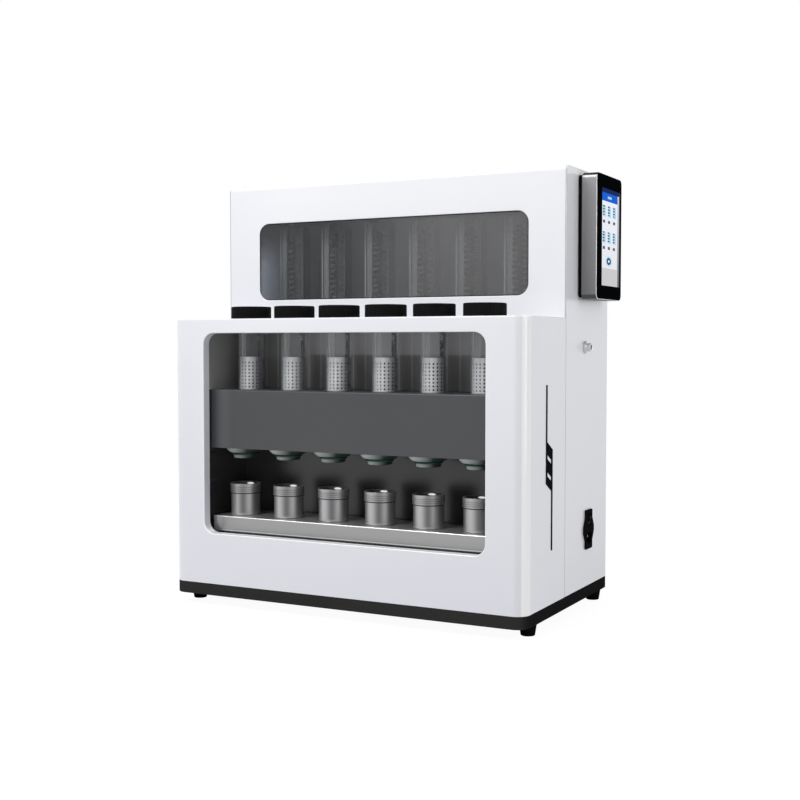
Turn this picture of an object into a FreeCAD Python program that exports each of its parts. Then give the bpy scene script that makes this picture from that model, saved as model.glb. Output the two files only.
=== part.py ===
import FreeCAD, Part
import math
import os

# Six-place solvent extraction analyser: heated cups below, glass extraction chambers
# in the middle, coil condensers in the tower. Sizes are millimetres.
# In this model x = 0 is the middle of the six stations, y = 0 is the front face,
# z = 0 is the surface that the feet stand on.

Vector = FreeCAD.Vector
UP = Vector(0, 0, 1)

# Stations. Round pieces that nothing turns on are drawn with this many flats.
station_count = 6
flats = 16
# How far a cutting shape runs past the face it opens, play in a threaded hole, and
# the length below which two points are the same
over = 1.0
thread_fit = 0.1
hair = 1e-6
cup_spacing = 83.0
window_beyond_cups = 36.5
cup_axis_y = 63.0
chamber_offset = 18.5

# Cabinet
foot_height = 17.0
foot_top_radius = 13.0
foot_bottom_radius = 10.5
foot_inset_x = 15.0
foot_inset_front = 50.0
foot_inset_rear = 21.0
base_height = 18.8
tray_wall = 8.0
tray_floor = 3.0
sheet = 1.5
seam_gap = 0.5
window_to_side = 61.0
cabinet_depth = 356.0
front_edge_radius = 20.5
ledge_edge_radius = 2.0
ledge_above_window = 22.6
tower_set_back = 160.5
tower_height = 227.7
tower_edge_radius = 8.0
joggle = 12.0

# Front window and extraction chamber
window_sill = 81.2
window_height = 318.0
window_radius = 18.0
window_return = 15.5
liner_reveal = 6.0
liner_gap = 1.0
liner_depth = 44.0
liner_drop = 40.0
slot_clearance = 3.0

# Tower window
tower_window_sill = 34.4
tower_window_height = 128.6
tower_window_radius = 18.5
pane_lap = 12.0
pane_thickness = 3.0

# Cups
cup_radius = 23.4
cup_rim_radius = 24.6
cup_wall = 0.9
cup_floor = 1.5
cup_height = 51.0
cup_rim_band = 14.7

# Seals above the cups
lift_travel = 50.1
seal_contact_gap = 0.3
seal_flange_radius = 30.0
seal_flange_taper = 5.0
seal_flange_height = 7.6
seal_gasket_radius = 21.5
seal_gasket_height = 3.8
seal_plug_radius = 19.0
seal_plug_height = 6.6

# Beam across the chamber
beam_front_y = 29.0
beam_height = 94.0
block_below_beam_top = 38.0

# Glass chambers, baskets and caps
glass_radius = 21.5
glass_wall = 2.1
glass_fit = 0.5
vapour_tube_radius = 3.5
vapour_tube_gap = 1.2
basket_radius = 18.5
basket_wall = 0.8
basket_above_beam = 52.6
basket_rest_gap = 0.3
bail_width = 4.0
bail_thickness = 1.2
bail_below_cap = 3.0
cap_radius = 32.3
cap_height = 20.4
cap_gap = 0.4
cap_top = 4.5
cap_fit = 0.5
cap_rib_count = 12
cap_rib_depth = 1.0
cap_rib_land = 0.7

# Hot plate and its lift
plate_height = 25.0
plate_front_y = 26.0
plate_top = 3.0
plate_skirt = 2.0
plate_side_gap = 5.0
plate_rear_gap = 5.0
plate_edge_radius = 1.5
heater_height = 6.0
heater_margin = 10.0
carriage_plate = 4.0
carriage_inset = 12.0
arm_width = 20.0
arm_height = 12.0
crossbar_height = 22.0
crossbar_depth = 26.0
rod_radius = 8.0
rod_spread = 2.0
bush_clearance = 0.05
screw_radius = 6.0
nut_width = 20.0
motor_width = 57.0
motor_height = 56.0
motor_chamfer = 5.0
motor_to_liner = 5.0
frame_plate = 6.0
frame_web = 4.0
frame_margin = 18.0
frame_headroom = 30.2
frame_to_electrics = 23.5

# Condensers in the tower
condenser_set_back = 54.5
condenser_radius = 24.4
condenser_wall = 1.8
condenser_shoulder = 12.0
condenser_core_radius = 12.5
condenser_below_window_top = 0.5
condenser_head_gap = 4.0
manifold_height = 17.0
manifold_depth = 34.0
shelf_depth = 90.0
shelf_flange = 14.0
shelf_gap = 1.0

# Touch screen on the right-hand side
screen_width = 118.0
screen_height = 192.0
screen_radius = 9.0
screen_glass_thickness = 4.0
screen_housing_depth = 22.0
screen_bracket_depth = 6.0
screen_bracket_inset = 3.0
screen_centre_behind_seam = 108.0
screen_below_top = 6.8
screen_housing_inset = 2.0

# Spigot, power inlet and stripe on the right-hand side
spigot_radius = 6.5
spigot_thread_radius = 7.0
spigot_bore = 4.0
spigot_length = 11.0
spigot_inside = 14.0
spigot_behind_seam = 84.5
spigot_below_ledge = 44.6
nut_flats = 17.0
nut_thickness = 4.0
inlet_behind_seam = 104.5
inlet_above_base = 90.0
inlet_half_height = 31.0
inlet_half_width = 15.0
inlet_ear = 22.5
inlet_ear_height = 9.0
inlet_plate = 3.0
inlet_body_depth = 32.0
inlet_body_margin = 2.0
socket_width = 24.0
socket_height = 16.5
socket_depth = 16.0
socket_drop = 13.5
rocker_width = 13.0
rocker_radius = 8.6
rocker_rise = 16.0
rocker_pivot_depth = 4.5
rocker_tilt = 12.0
rocker_gap = 0.4
stripe_front_y = 79.0
stripe_width = 5.0
stripe_block_width = 27.0
stripe_block_height = 63.0
stripe_slant = 15.0
stripe_block_above_base = 180.0
stripe_upper_length = 80.0
stripe_lower_length = 85.0
stripe_thickness = 0.6
slash_count = 2
slash_inset = 6.0
slash_height = 6.5
slash_pitch = 25.0

# Fittings behind the rear cover
louvre_columns = 2
louvre_rows = 7
louvre_length = 90.0
louvre_height = 4.0
louvre_pitch = 14.0
louvre_spread = 150.0
louvre_above_base = 60.0
barb_radius = 5.5
barb_bore = 3.5
barb_length = 24.0
barb_collar_flats = 16.0
barb_collar = 4.0
barb_inside = 12.0
barb_pitch = 60.0
barb_below_ledge = 60.0
barb_x = -200.0
screw_head_flats = 7.0
screw_head_height = 2.0
screw_margin = 12.0
supply_length = 160.0
supply_height = 45.0
supply_x = 140.0
board_length = 170.0
board_thickness = 1.6
board_spacer = 10.0
board_spacer_width = 6.0
board_x = -140.0
electrics_rear_gap = 28.0

# Places that follow from the sizes above
half_stations = (station_count - 1) * cup_spacing / 2
window_half = half_stations + window_beyond_cups
half_width = window_half + window_to_side
base_bottom_z = foot_height
base_top_z = base_bottom_z + base_height
window_bottom_z = base_top_z + window_sill
window_top_z = window_bottom_z + window_height
ledge_z = window_top_z + ledge_above_window
tower_z = ledge_z + tower_height
tower_edge_z = ledge_z - 2 * joggle
inside_x = half_width - sheet
rear_inside_y = cabinet_depth - sheet
tray_floor_z = base_bottom_z + tray_floor
chamber_axis_y = cup_axis_y + chamber_offset
liner_half = window_half + liner_reveal
liner_back_y = chamber_axis_y + liner_depth
liner_floor_z = window_bottom_z - liner_drop
plate_z = window_bottom_z + plate_height
cup_top_z = plate_z + cup_height
flange_z = cup_top_z + lift_travel + seal_contact_gap
gasket_z = flange_z - seal_gasket_height
beam_bottom_z = flange_z + seal_flange_height
beam_top_z = beam_bottom_z + beam_height
block_top_z = beam_top_z - block_below_beam_top
cap_bottom_z = ledge_z + cap_gap
cap_roof_z = cap_bottom_z + cap_height - cap_top
glass_top_z = cap_roof_z - cap_fit
basket_top_z = beam_top_z + basket_above_beam
bail_top_z = cap_roof_z - bail_below_cap
plate_rear_y = liner_back_y - plate_rear_gap
plate_half = liner_half - plate_side_gap
arm_x = rod_spread * cup_spacing
lift_axis_y = liner_back_y + sheet + motor_to_liner + motor_width / 2
carriage_top_z = window_bottom_z
arm_bottom_z = carriage_top_z - arm_height
crossbar_bottom_z = carriage_top_z - crossbar_height
frame_top_z = carriage_top_z + lift_travel + frame_headroom
frame_rear_y = lift_axis_y + motor_width / 2 + frame_web
electrics_front_y = frame_rear_y + frame_to_electrics
electrics_rear_y = rear_inside_y - electrics_rear_gap
tower_window_bottom_z = ledge_z + tower_window_sill
tower_window_top_z = tower_window_bottom_z + tower_window_height
condenser_y = tower_set_back + condenser_set_back
shelf_z = ledge_z + shelf_gap
manifold_z = shelf_z + sheet
jacket_z = manifold_z + manifold_height
jacket_top_z = tower_window_top_z - condenser_below_window_top
core_top_z = jacket_top_z - condenser_wall - condenser_shoulder - condenser_head_gap
screen_y = tower_set_back + screen_centre_behind_seam
screen_bottom_z = tower_z - screen_below_top - screen_height
screen_glass_x = half_width + screen_bracket_depth + screen_housing_depth
screen_front_x = screen_glass_x + screen_glass_thickness
spigot_y = tower_set_back + spigot_behind_seam
spigot_z = ledge_z - spigot_below_ledge
inlet_y = tower_set_back + inlet_behind_seam
inlet_z = base_top_z + inlet_above_base
socket_z = inlet_z - socket_drop
rocker_z = inlet_z + rocker_rise
rocker_x = half_width + inlet_plate - rocker_pivot_depth
barb_z = ledge_z - barb_below_ledge
rear_y = cabinet_depth + barb_collar + barb_length

# The whole object is placed with its origin under the middle of its box
origin_x = (screen_front_x - half_width) / 2
origin_y = rear_y / 2


def stations():
    """The x of each station, from left to right."""
    return [i * cup_spacing - half_stations for i in range(station_count)]


def block(x0, x1, y0, y1, z0, z1):
    """A rectangular block between two corners."""
    return Part.makeBox(x1 - x0, y1 - y0, z1 - z0, Vector(x0, y0, z0))


def post(radius, x, y, z0, z1):
    """A vertical cylinder."""
    return Part.makeCylinder(radius, z1 - z0, Vector(x, y, z0), UP)


def along(edge, direction):
    """Whether a straight edge runs along a direction."""
    first, last = edge.Vertexes[0].Point, edge.Vertexes[-1].Point
    return (last - first).cross(direction).Length < hair


def rounded(shape, radius, direction, chosen=lambda point: True):
    """Round the edges along a direction whose middle point is chosen."""
    edges = [
        e
        for e in shape.Edges
        if along(e, direction) and chosen(e.BoundBox.Center)
    ]
    return shape.makeFillet(radius, edges)


def ring(radius, x, y, z):
    """Closed outline of flats about a vertical axis."""
    turns = [2 * math.pi * i / flats for i in range(flats)]
    points = [Vector(x + radius * math.cos(a), y + radius * math.sin(a), z) for a in turns]
    return Part.makePolygon(points + points[:1])


def drum(radius, x, y, z0, z1):
    """An upright round piece drawn with flats."""
    return Part.Face(ring(radius, x, y, z0)).extrude(Vector(0, 0, z1 - z0))


def taper(low_radius, high_radius, x, y, z0, z1):
    """An upright tapered piece drawn with flats."""
    low = ring(low_radius, x, y, z0)
    high = ring(high_radius, x, y, z1)
    faces = [Part.Face(low), Part.Face(high)]
    for low_edge, high_edge in zip(low.Edges, high.Edges):
        a, b = [v.Point for v in low_edge.Vertexes]
        c, d = [v.Point for v in high_edge.Vertexes]
        faces.append(Part.Face(Part.makePolygon([a, b, d, c, a])))
    return Part.Solid(Part.Shell(faces))


def tube(outer, wall, x, y, z0, z1):
    """An upright tube drawn with flats."""
    return drum(outer, x, y, z0, z1).cut(drum(outer - wall, x, y, z0, z1))


def lying_drum(radius, start, direction, length):
    """A round piece drawn with flats, from a start point along a direction."""
    shape = drum(radius, 0, 0, 0, length)
    shape.Placement = FreeCAD.Placement(start, FreeCAD.Rotation(UP, direction))
    return shape


def six_sided(flat_width, centre, direction, length):
    """A six-sided bar along x or y about a centre."""
    corner = flat_width / 2 / math.cos(math.pi / 6)
    across = direction.cross(UP)
    points = [
        centre
        + across * (corner * math.cos(math.pi * i / 3))
        + UP * (corner * math.sin(math.pi * i / 3))
        for i in range(6)
    ]
    return Part.Face(Part.makePolygon(points + points[:1])).extrude(direction * length)


def prism_x(outline, x, thickness):
    """Push an outline of (y, z) points along x."""
    points = [Vector(x, y, z) for y, z in outline]
    return Part.Face(Part.makePolygon(points + points[:1])).extrude(Vector(thickness, 0, 0))


def window_prism(half, y0, y1, z0, z1, radius):
    """The space of a window with rounded corners."""
    return rounded(block(-half, half, y0, y1, z0, z1), radius, Vector(0, 1, 0))


def at_stations(make):
    """One separate solid at each station, kept together in one node."""
    return Part.makeCompound([make(x) for x in stations()])


def footprint(x, y0, y1, z0, z1, radius):
    """A block whose two front upright edges are rounded."""
    shape = block(-x, x, y0, y1, z0, z1)
    return rounded(shape, radius, UP, lambda p: p.y < (y0 + y1) / 2)


def base_tray():
    """The black base: a tray with an upright rim that the shells stand on."""
    outer = footprint(half_width, 0, cabinet_depth, base_bottom_z, base_top_z, front_edge_radius)
    pocket_radius = front_edge_radius - tray_wall
    pocket = footprint(
        half_width - tray_wall,
        tray_wall,
        cabinet_depth - tray_wall,
        tray_floor_z,
        base_top_z,
        pocket_radius,
    )
    return outer.cut(pocket)


def feet():
    """Four tapered rubber feet."""
    x = half_width - foot_inset_x
    rear = cabinet_depth - foot_inset_rear
    places = [(-x, foot_inset_front), (x, foot_inset_front), (-x, rear), (x, rear)]
    return Part.makeCompound(
        [
            taper(foot_bottom_radius, foot_top_radius, px, py, 0, foot_height)
            for px, py in places
        ]
    )


def front_shell():
    """Folded front: face, both cheeks, ledge, and the deep return round the window."""
    outer = footprint(half_width, 0, tower_set_back, base_top_z, ledge_z, front_edge_radius)
    top_edges = [
        e
        for e in outer.Edges
        if e.BoundBox.ZMin > ledge_z - sheet and e.BoundBox.YMin < tower_set_back - sheet
    ]
    outer = outer.makeFillet(ledge_edge_radius, top_edges)
    hollow = footprint(
        inside_x,
        sheet,
        tower_set_back + over,
        base_top_z - over,
        ledge_z - sheet,
        front_edge_radius - sheet,
    )
    shell = outer.cut(hollow)
    lip = window_prism(
        window_half + sheet,
        0,
        window_return,
        window_bottom_z - sheet,
        window_top_z + sheet,
        window_radius + sheet,
    )
    opening = window_prism(
        window_half, -over, window_return + over, window_bottom_z, window_top_z, window_radius
    )
    shell = shell.fuse(lip).cut(opening)
    for x in stations():
        hole = drum(
            glass_radius + glass_fit, x, chamber_axis_y, ledge_z - sheet - over, ledge_z + over
        )
        shell = shell.cut(hole)
    return shell.removeSplitter()


def side_panel(side):
    """Side of the cabinet behind the seam, with a joggled edge that tucks into the front."""
    front = tower_set_back + seam_gap
    panel = block(inside_x, half_width, front, cabinet_depth, base_top_z, tower_z)
    panel = rounded(
        panel,
        tower_edge_radius,
        Vector(1, 0, 0),
        lambda p: p.y < front + sheet and p.z > tower_z - sheet,
    )
    tuck = block(
        inside_x - sheet,
        inside_x,
        tower_set_back - joggle,
        front + joggle,
        base_top_z,
        tower_edge_z - seam_gap,
    )
    panel = panel.fuse(tuck)
    if side < 0:
        return panel.mirror(Vector(0, 0, 0), Vector(1, 0, 0))
    spigot_hole = Part.makeCylinder(
        spigot_thread_radius + thread_fit,
        sheet + 2 * over,
        Vector(inside_x - over, spigot_y, spigot_z),
        Vector(1, 0, 0),
    )
    half_body = inlet_half_width - inlet_body_margin
    tall_body = inlet_half_height - inlet_body_margin
    inlet_hole = block(
        inside_x - over,
        half_width + over,
        inlet_y - half_body,
        inlet_y + half_body,
        inlet_z - tall_body,
        inlet_z + tall_body,
    )
    return panel.cut(spigot_hole).cut(inlet_hole)


def tower_shell():
    """Tower front and roof, folded from one sheet, with the condenser window."""
    half = inside_x - seam_gap
    low = tower_edge_z

    def front_edge(point):
        return point.y < tower_set_back + 2 * sheet and point.z > tower_z - 2 * sheet

    outer = block(-half, half, tower_set_back, rear_inside_y, low, tower_z)
    outer = rounded(outer, tower_edge_radius, Vector(1, 0, 0), front_edge)
    inner = block(
        -half, half, tower_set_back + sheet, rear_inside_y, low, tower_z - sheet
    )
    inner = rounded(inner, tower_edge_radius - sheet, Vector(1, 0, 0), front_edge)
    opening = window_prism(
        window_half,
        tower_set_back - over,
        tower_set_back + sheet + over,
        tower_window_bottom_z,
        tower_window_top_z,
        tower_window_radius,
    )
    return outer.cut(inner).cut(opening)


def tower_window():
    """Tinted pane behind the tower's window."""
    front = tower_set_back + sheet
    return block(
        -window_half - pane_lap,
        window_half + pane_lap,
        front,
        front + pane_thickness,
        tower_window_bottom_z - pane_lap,
        tower_window_top_z + pane_lap,
    )


def barb_places():
    """The x of the cooling water inlet and outlet."""
    return [barb_x, barb_x + barb_pitch]


def rear_cover():
    """Rear cover with two fields of louvre slots and holes for the water connections."""
    half = inside_x - seam_gap
    cover = block(-half, half, rear_inside_y, cabinet_depth, base_top_z, tower_z - sheet - seam_gap)
    for column in range(louvre_columns):
        x = (column - (louvre_columns - 1) / 2) * louvre_spread
        for row in range(louvre_rows):
            z = base_top_z + louvre_above_base + row * louvre_pitch
            slot = block(
                x - louvre_length / 2,
                x + louvre_length / 2,
                rear_inside_y - over,
                cabinet_depth + over,
                z,
                z + louvre_height,
            )
            cover = cover.cut(slot)
    for x in barb_places():
        hole = Part.makeCylinder(
            barb_radius + thread_fit,
            sheet + 2 * over,
            Vector(x, rear_inside_y - over, barb_z),
            Vector(0, 1, 0),
        )
        cover = cover.cut(hole)
    return cover


def cover_screws():
    """Six-sided heads that hold the rear cover."""
    low = base_top_z + screw_margin
    high = tower_z - 2 * screw_margin
    heads = []
    for x in (screw_margin - half_width, half_width - screw_margin):
        for z in (low, (low + high) / 2, high):
            seat = Vector(x, cabinet_depth, z)
            heads.append(six_sided(screw_head_flats, seat, Vector(0, 1, 0), screw_head_height))
    return Part.makeCompound(heads)


def chamber_liner():
    """Dark folded lining of the extraction chamber, slotted for the two lift arms."""
    front = window_return + liner_gap
    top = ledge_z - sheet
    outer = block(
        -liner_half - sheet,
        liner_half + sheet,
        front,
        liner_back_y + sheet,
        liner_floor_z - sheet,
        top,
    )
    space = block(-liner_half, liner_half, front, liner_back_y, liner_floor_z, top)
    liner = outer.cut(space)
    half_slot = arm_width / 2 + slot_clearance
    for x in (-arm_x, arm_x):
        slot = block(
            x - half_slot,
            x + half_slot,
            liner_back_y - over,
            liner_back_y + sheet + over,
            arm_bottom_z - slot_clearance,
            carriage_top_z + lift_travel + slot_clearance,
        )
        liner = liner.cut(slot)
    return liner


def beam_cover():
    """Dark cover across the chamber: face and top, pierced for the glass chambers."""
    top = block(-liner_half, liner_half, beam_front_y, liner_back_y, beam_top_z - sheet, beam_top_z)
    face = block(
        -liner_half, liner_half, beam_front_y, beam_front_y + sheet, beam_bottom_z, beam_top_z
    )
    cover = top.fuse(face)
    for x in stations():
        hole = drum(
            glass_radius + glass_fit,
            x,
            chamber_axis_y,
            beam_top_z - sheet - over,
            beam_top_z + over,
        )
        cover = cover.cut(hole)
    return cover.removeSplitter()


def chamber_block():
    """Heated block in the beam that the glass chambers stand on."""
    return block(
        -liner_half,
        liner_half,
        beam_front_y + sheet,
        liner_back_y,
        beam_bottom_z,
        block_top_z,
    )


def seal_flange(x):
    """Pale flange under the beam, sloping in to the rim of a raised cup."""
    low_radius = seal_flange_radius - seal_flange_taper
    return taper(low_radius, seal_flange_radius, x, cup_axis_y, flange_z, beam_bottom_z)


def seal_flanges():
    """The six flanges, one above each cup."""
    return at_stations(seal_flange)


def seal_gaskets():
    """Green gasket that seals inside the rim of a raised cup."""
    return at_stations(lambda x: drum(seal_gasket_radius, x, cup_axis_y, gasket_z, flange_z))


def seal_plugs():
    """Pale plug that reaches into a raised cup."""
    low = gasket_z - seal_plug_height
    return at_stations(lambda x: drum(seal_plug_radius, x, cup_axis_y, low, gasket_z))


def glass_chambers():
    """Glass extraction chambers, from the heated block up into the caps."""
    return at_stations(
        lambda x: tube(glass_radius, glass_wall, x, chamber_axis_y, block_top_z, glass_top_z)
    )


def vapour_tubes():
    """Thin riser behind each chamber that leads vapour up to the condenser."""
    y = chamber_axis_y + glass_radius + vapour_tube_gap + vapour_tube_radius
    return at_stations(lambda x: drum(vapour_tube_radius, x, y, beam_top_z, ledge_z - sheet))


def basket(x):
    """Sample basket with a flat bail that hangs it under the cap."""
    low = block_top_z + basket_rest_gap
    inner = basket_radius - basket_wall
    shell = drum(basket_radius, x, chamber_axis_y, low, basket_top_z)
    space = drum(inner, x, chamber_axis_y, low + basket_wall, basket_top_z)
    half = bail_width / 2
    leg = inner - bail_thickness
    hoop = block(
        x - inner,
        x + inner,
        chamber_axis_y - half,
        chamber_axis_y + half,
        basket_top_z - 2 * bail_width,
        bail_top_z,
    )
    gap = block(
        x - leg,
        x + leg,
        chamber_axis_y - bail_width,
        chamber_axis_y + bail_width,
        low,
        bail_top_z - bail_thickness,
    )
    return shell.cut(space).fuse(hoop.cut(gap)).removeSplitter()


def cap(x):
    """Screw cap: a ribbed grip with a bore over the glass."""
    points = []
    for i in range(2 * cap_rib_count):
        radius = cap_radius - cap_rib_depth * (i % 2)
        for side in (-0.5, 0.5):
            angle = math.pi * (i + side * cap_rib_land) / cap_rib_count
            points.append(
                Vector(
                    x + radius * math.cos(angle),
                    chamber_axis_y + radius * math.sin(angle),
                    cap_bottom_z,
                )
            )
    grip = Part.Face(Part.makePolygon(points + points[:1])).extrude(Vector(0, 0, cap_height))
    bore = drum(glass_radius + cap_fit, x, chamber_axis_y, cap_bottom_z, cap_roof_z)
    return grip.cut(bore)


def cup(x):
    """Metal solvent cup with a raised band round its rim."""
    band_z = cup_top_z - cup_rim_band
    body = drum(cup_radius, x, cup_axis_y, plate_z, band_z)
    band = drum(cup_rim_radius, x, cup_axis_y, band_z, cup_top_z)
    space = drum(cup_radius - cup_wall, x, cup_axis_y, plate_z + cup_floor, cup_top_z)
    return body.fuse(band).cut(space)


def hot_plate():
    """Hot plate: a heavy top with a skirt on all four sides."""
    outer = block(-plate_half, plate_half, plate_front_y, plate_rear_y, window_bottom_z, plate_z)
    outer = rounded(
        outer,
        plate_edge_radius,
        Vector(1, 0, 0),
        lambda p: p.y < plate_front_y + plate_skirt and p.z > plate_z - plate_top,
    )
    hollow = block(
        plate_skirt - plate_half,
        plate_half - plate_skirt,
        plate_front_y + plate_skirt,
        plate_rear_y - plate_skirt,
        window_bottom_z,
        plate_z - plate_top,
    )
    return outer.cut(hollow)


def heater_mat():
    """Flat heater pressed against the underside of the hot plate."""
    top = plate_z - plate_top
    return block(
        heater_margin - plate_half,
        plate_half - heater_margin,
        plate_front_y + heater_margin,
        plate_rear_y - heater_margin,
        top - heater_height,
        top,
    )


def lift_carriage():
    """Carrier under the hot plate, with two arms to a cross bar on the guide rods."""
    half = arm_x + arm_width
    carrier = block(
        carriage_inset - plate_half,
        plate_half - carriage_inset,
        plate_front_y + carriage_inset,
        plate_rear_y,
        carriage_top_z - carriage_plate,
        carriage_top_z,
    )
    bar_front = lift_axis_y - crossbar_depth / 2
    bar_rear = lift_axis_y + crossbar_depth / 2
    carriage = carrier.fuse(
        block(-half, half, bar_front, bar_rear, crossbar_bottom_z, carriage_top_z)
    )
    for x in (-arm_x, arm_x):
        arm = block(
            x - arm_width / 2,
            x + arm_width / 2,
            plate_rear_y - carriage_inset,
            bar_front,
            arm_bottom_z,
            carriage_top_z,
        )
        carriage = carriage.fuse(arm)
        carriage = carriage.cut(
            drum(
                rod_radius + bush_clearance,
                x,
                lift_axis_y,
                crossbar_bottom_z - over,
                carriage_top_z + over,
            )
        )
    half_nut = nut_width / 2
    seat = block(
        -half_nut,
        half_nut,
        lift_axis_y - half_nut,
        lift_axis_y + half_nut,
        crossbar_bottom_z,
        carriage_top_z,
    )
    return carriage.cut(seat).removeSplitter()


def lead_nut():
    """Square bronze nut seated in the cross bar."""
    half = nut_width / 2
    body = block(
        -half, half, lift_axis_y - half, lift_axis_y + half, crossbar_bottom_z, carriage_top_z
    )
    bore = post(
        screw_radius + bush_clearance,
        0,
        lift_axis_y,
        crossbar_bottom_z - over,
        carriage_top_z + over,
    )
    return body.cut(bore)


def lead_screw():
    """Lifting screw between the frame's foot and the motor."""
    return post(screw_radius, 0, lift_axis_y, tray_floor_z + frame_plate, frame_top_z)


def guide_rods():
    """Two ground rods that keep the hot plate level."""
    rods = [
        drum(rod_radius, x, lift_axis_y, tray_floor_z + frame_plate, frame_top_z - frame_plate)
        for x in (-arm_x, arm_x)
    ]
    return Part.makeCompound(rods)


def lift_frame():
    """Channel-shaped frame that holds the guide rods, the screw and the motor."""
    half = arm_x + frame_margin
    front = lift_axis_y - frame_margin
    outer = block(-half, half, front, frame_rear_y, tray_floor_z, frame_top_z)
    throat = block(
        -half,
        half,
        front,
        frame_rear_y - frame_web,
        tray_floor_z + frame_plate,
        frame_top_z - frame_plate,
    )
    screw_hole = post(
        screw_radius + bush_clearance,
        0,
        lift_axis_y,
        frame_top_z - frame_plate - over,
        frame_top_z + over,
    )
    return outer.cut(throat).cut(screw_hole)


def lift_motor():
    """Square stepping motor on top of the frame."""
    half = motor_width / 2
    body = block(
        -half,
        half,
        lift_axis_y - half,
        lift_axis_y + half,
        frame_top_z,
        frame_top_z + motor_height,
    )
    return body.makeChamfer(motor_chamfer, [e for e in body.Edges if along(e, UP)])


def condenser_shelf():
    """Folded shelf across the tower that carries the condensers."""
    front = tower_set_back + sheet + pane_thickness + shelf_gap
    shelf = block(-inside_x, inside_x, front, front + shelf_depth, shelf_z, shelf_z + sheet)
    for x0 in (-inside_x, inside_x - sheet):
        flange = block(x0, x0 + sheet, front, front + shelf_depth, shelf_z, shelf_z + shelf_flange)
        shelf = shelf.fuse(flange)
    return shelf.removeSplitter()


def water_manifold():
    """Cooling water manifold that the condensers plug into."""
    half = half_stations + condenser_radius + sheet
    return block(
        -half,
        half,
        condenser_y - manifold_depth / 2,
        condenser_y + manifold_depth / 2,
        manifold_z,
        jacket_z,
    )


def condenser_jacket(x):
    """Glass condenser jacket with a sloped shoulder."""
    shoulder_z = jacket_top_z - condenser_shoulder
    inner = condenser_radius - condenser_wall
    body = drum(condenser_radius, x, condenser_y, jacket_z, shoulder_z)
    shoulder = taper(
        condenser_radius, condenser_core_radius, x, condenser_y, shoulder_z, jacket_top_z
    )
    space = drum(inner, x, condenser_y, jacket_z, shoulder_z)
    return body.fuse(shoulder).cut(space)


def condenser_jackets():
    """The six glass condenser jackets."""
    return at_stations(condenser_jacket)


def condenser_cores():
    """The coil in each condenser, as the cylinder that it fills."""
    return at_stations(
        lambda x: drum(condenser_core_radius, x, condenser_y, jacket_z, core_top_z)
    )


def hose_barbs():
    """Cooling water inlet and outlet on the rear, each with a six-sided collar."""
    rearward = Vector(0, 1, 0)
    neck_length = barb_inside + sheet + barb_collar
    barbs = []
    for x in barb_places():
        start = Vector(x, rear_inside_y - barb_inside, barb_z)
        seat = Vector(x, cabinet_depth, barb_z)
        shoulder = seat + rearward * barb_collar
        neck = lying_drum(barb_radius, start, rearward, neck_length)
        stub = Part.makeCylinder(barb_radius, barb_length, shoulder, rearward)
        collar = six_sided(barb_collar_flats, seat, rearward, barb_collar)
        bore = lying_drum(barb_bore, start, rearward, neck_length + barb_length)
        barbs.append(stub.fuse(neck).fuse(collar).cut(bore))
    return Part.makeCompound(barbs)


def vent_spigot():
    """Hollow spigot through the right-hand side."""
    outward = Vector(1, 0, 0)
    start = Vector(inside_x - spigot_inside, spigot_y, spigot_z)
    thread_length = spigot_inside + sheet + nut_thickness
    length = spigot_inside + sheet + spigot_length
    stub = Part.makeCylinder(spigot_radius, length, start, outward)
    thread = lying_drum(spigot_thread_radius, start, outward, thread_length)
    return stub.fuse(thread).cut(lying_drum(spigot_bore, start, outward, length))


def spigot_nut():
    """Six-sided nut that clamps the spigot to the side."""
    outward = Vector(1, 0, 0)
    seat = Vector(half_width, spigot_y, spigot_z)
    nut = six_sided(nut_flats, seat, outward, nut_thickness)
    hole_radius = spigot_thread_radius + thread_fit
    return nut.cut(lying_drum(hole_radius, seat, outward, nut_thickness))


def power_inlet():
    """Power inlet: eared face plate, body behind it, socket below and switch well above."""
    ear = inlet_ear_height
    outline = [
        (inlet_y - inlet_half_width, inlet_z + inlet_half_height),
        (inlet_y + inlet_half_width, inlet_z + inlet_half_height),
        (inlet_y + inlet_half_width, inlet_z + 2 * ear),
        (inlet_y + inlet_ear, inlet_z + ear / 2),
        (inlet_y + inlet_ear, inlet_z - ear / 2),
        (inlet_y + inlet_half_width, inlet_z - 2 * ear),
        (inlet_y + inlet_half_width, inlet_z - inlet_half_height),
        (inlet_y - inlet_half_width, inlet_z - inlet_half_height),
        (inlet_y - inlet_half_width, inlet_z - 2 * ear),
        (inlet_y - inlet_ear, inlet_z - ear / 2),
        (inlet_y - inlet_ear, inlet_z + ear / 2),
        (inlet_y - inlet_half_width, inlet_z + 2 * ear),
    ]
    face_x = half_width + inlet_plate
    plate = prism_x(outline, half_width, inlet_plate)
    half_body = inlet_half_width - inlet_body_margin
    tall_body = inlet_half_height - inlet_body_margin
    body = block(
        half_width - inlet_body_depth,
        half_width,
        inlet_y - half_body,
        inlet_y + half_body,
        inlet_z - tall_body,
        inlet_z + tall_body,
    )
    socket = block(
        face_x - socket_depth,
        face_x + over,
        inlet_y - socket_width / 2,
        inlet_y + socket_width / 2,
        socket_z - socket_height / 2,
        socket_z + socket_height / 2,
    )
    half_well = rocker_width / 2 + rocker_gap
    tall_well = rocker_radius + rocker_gap
    well = block(
        rocker_x - tall_well,
        face_x + over,
        inlet_y - half_well,
        inlet_y + half_well,
        rocker_z - tall_well,
        rocker_z + tall_well,
    )
    return plate.fuse(body).cut(socket).cut(well).removeSplitter()


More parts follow.
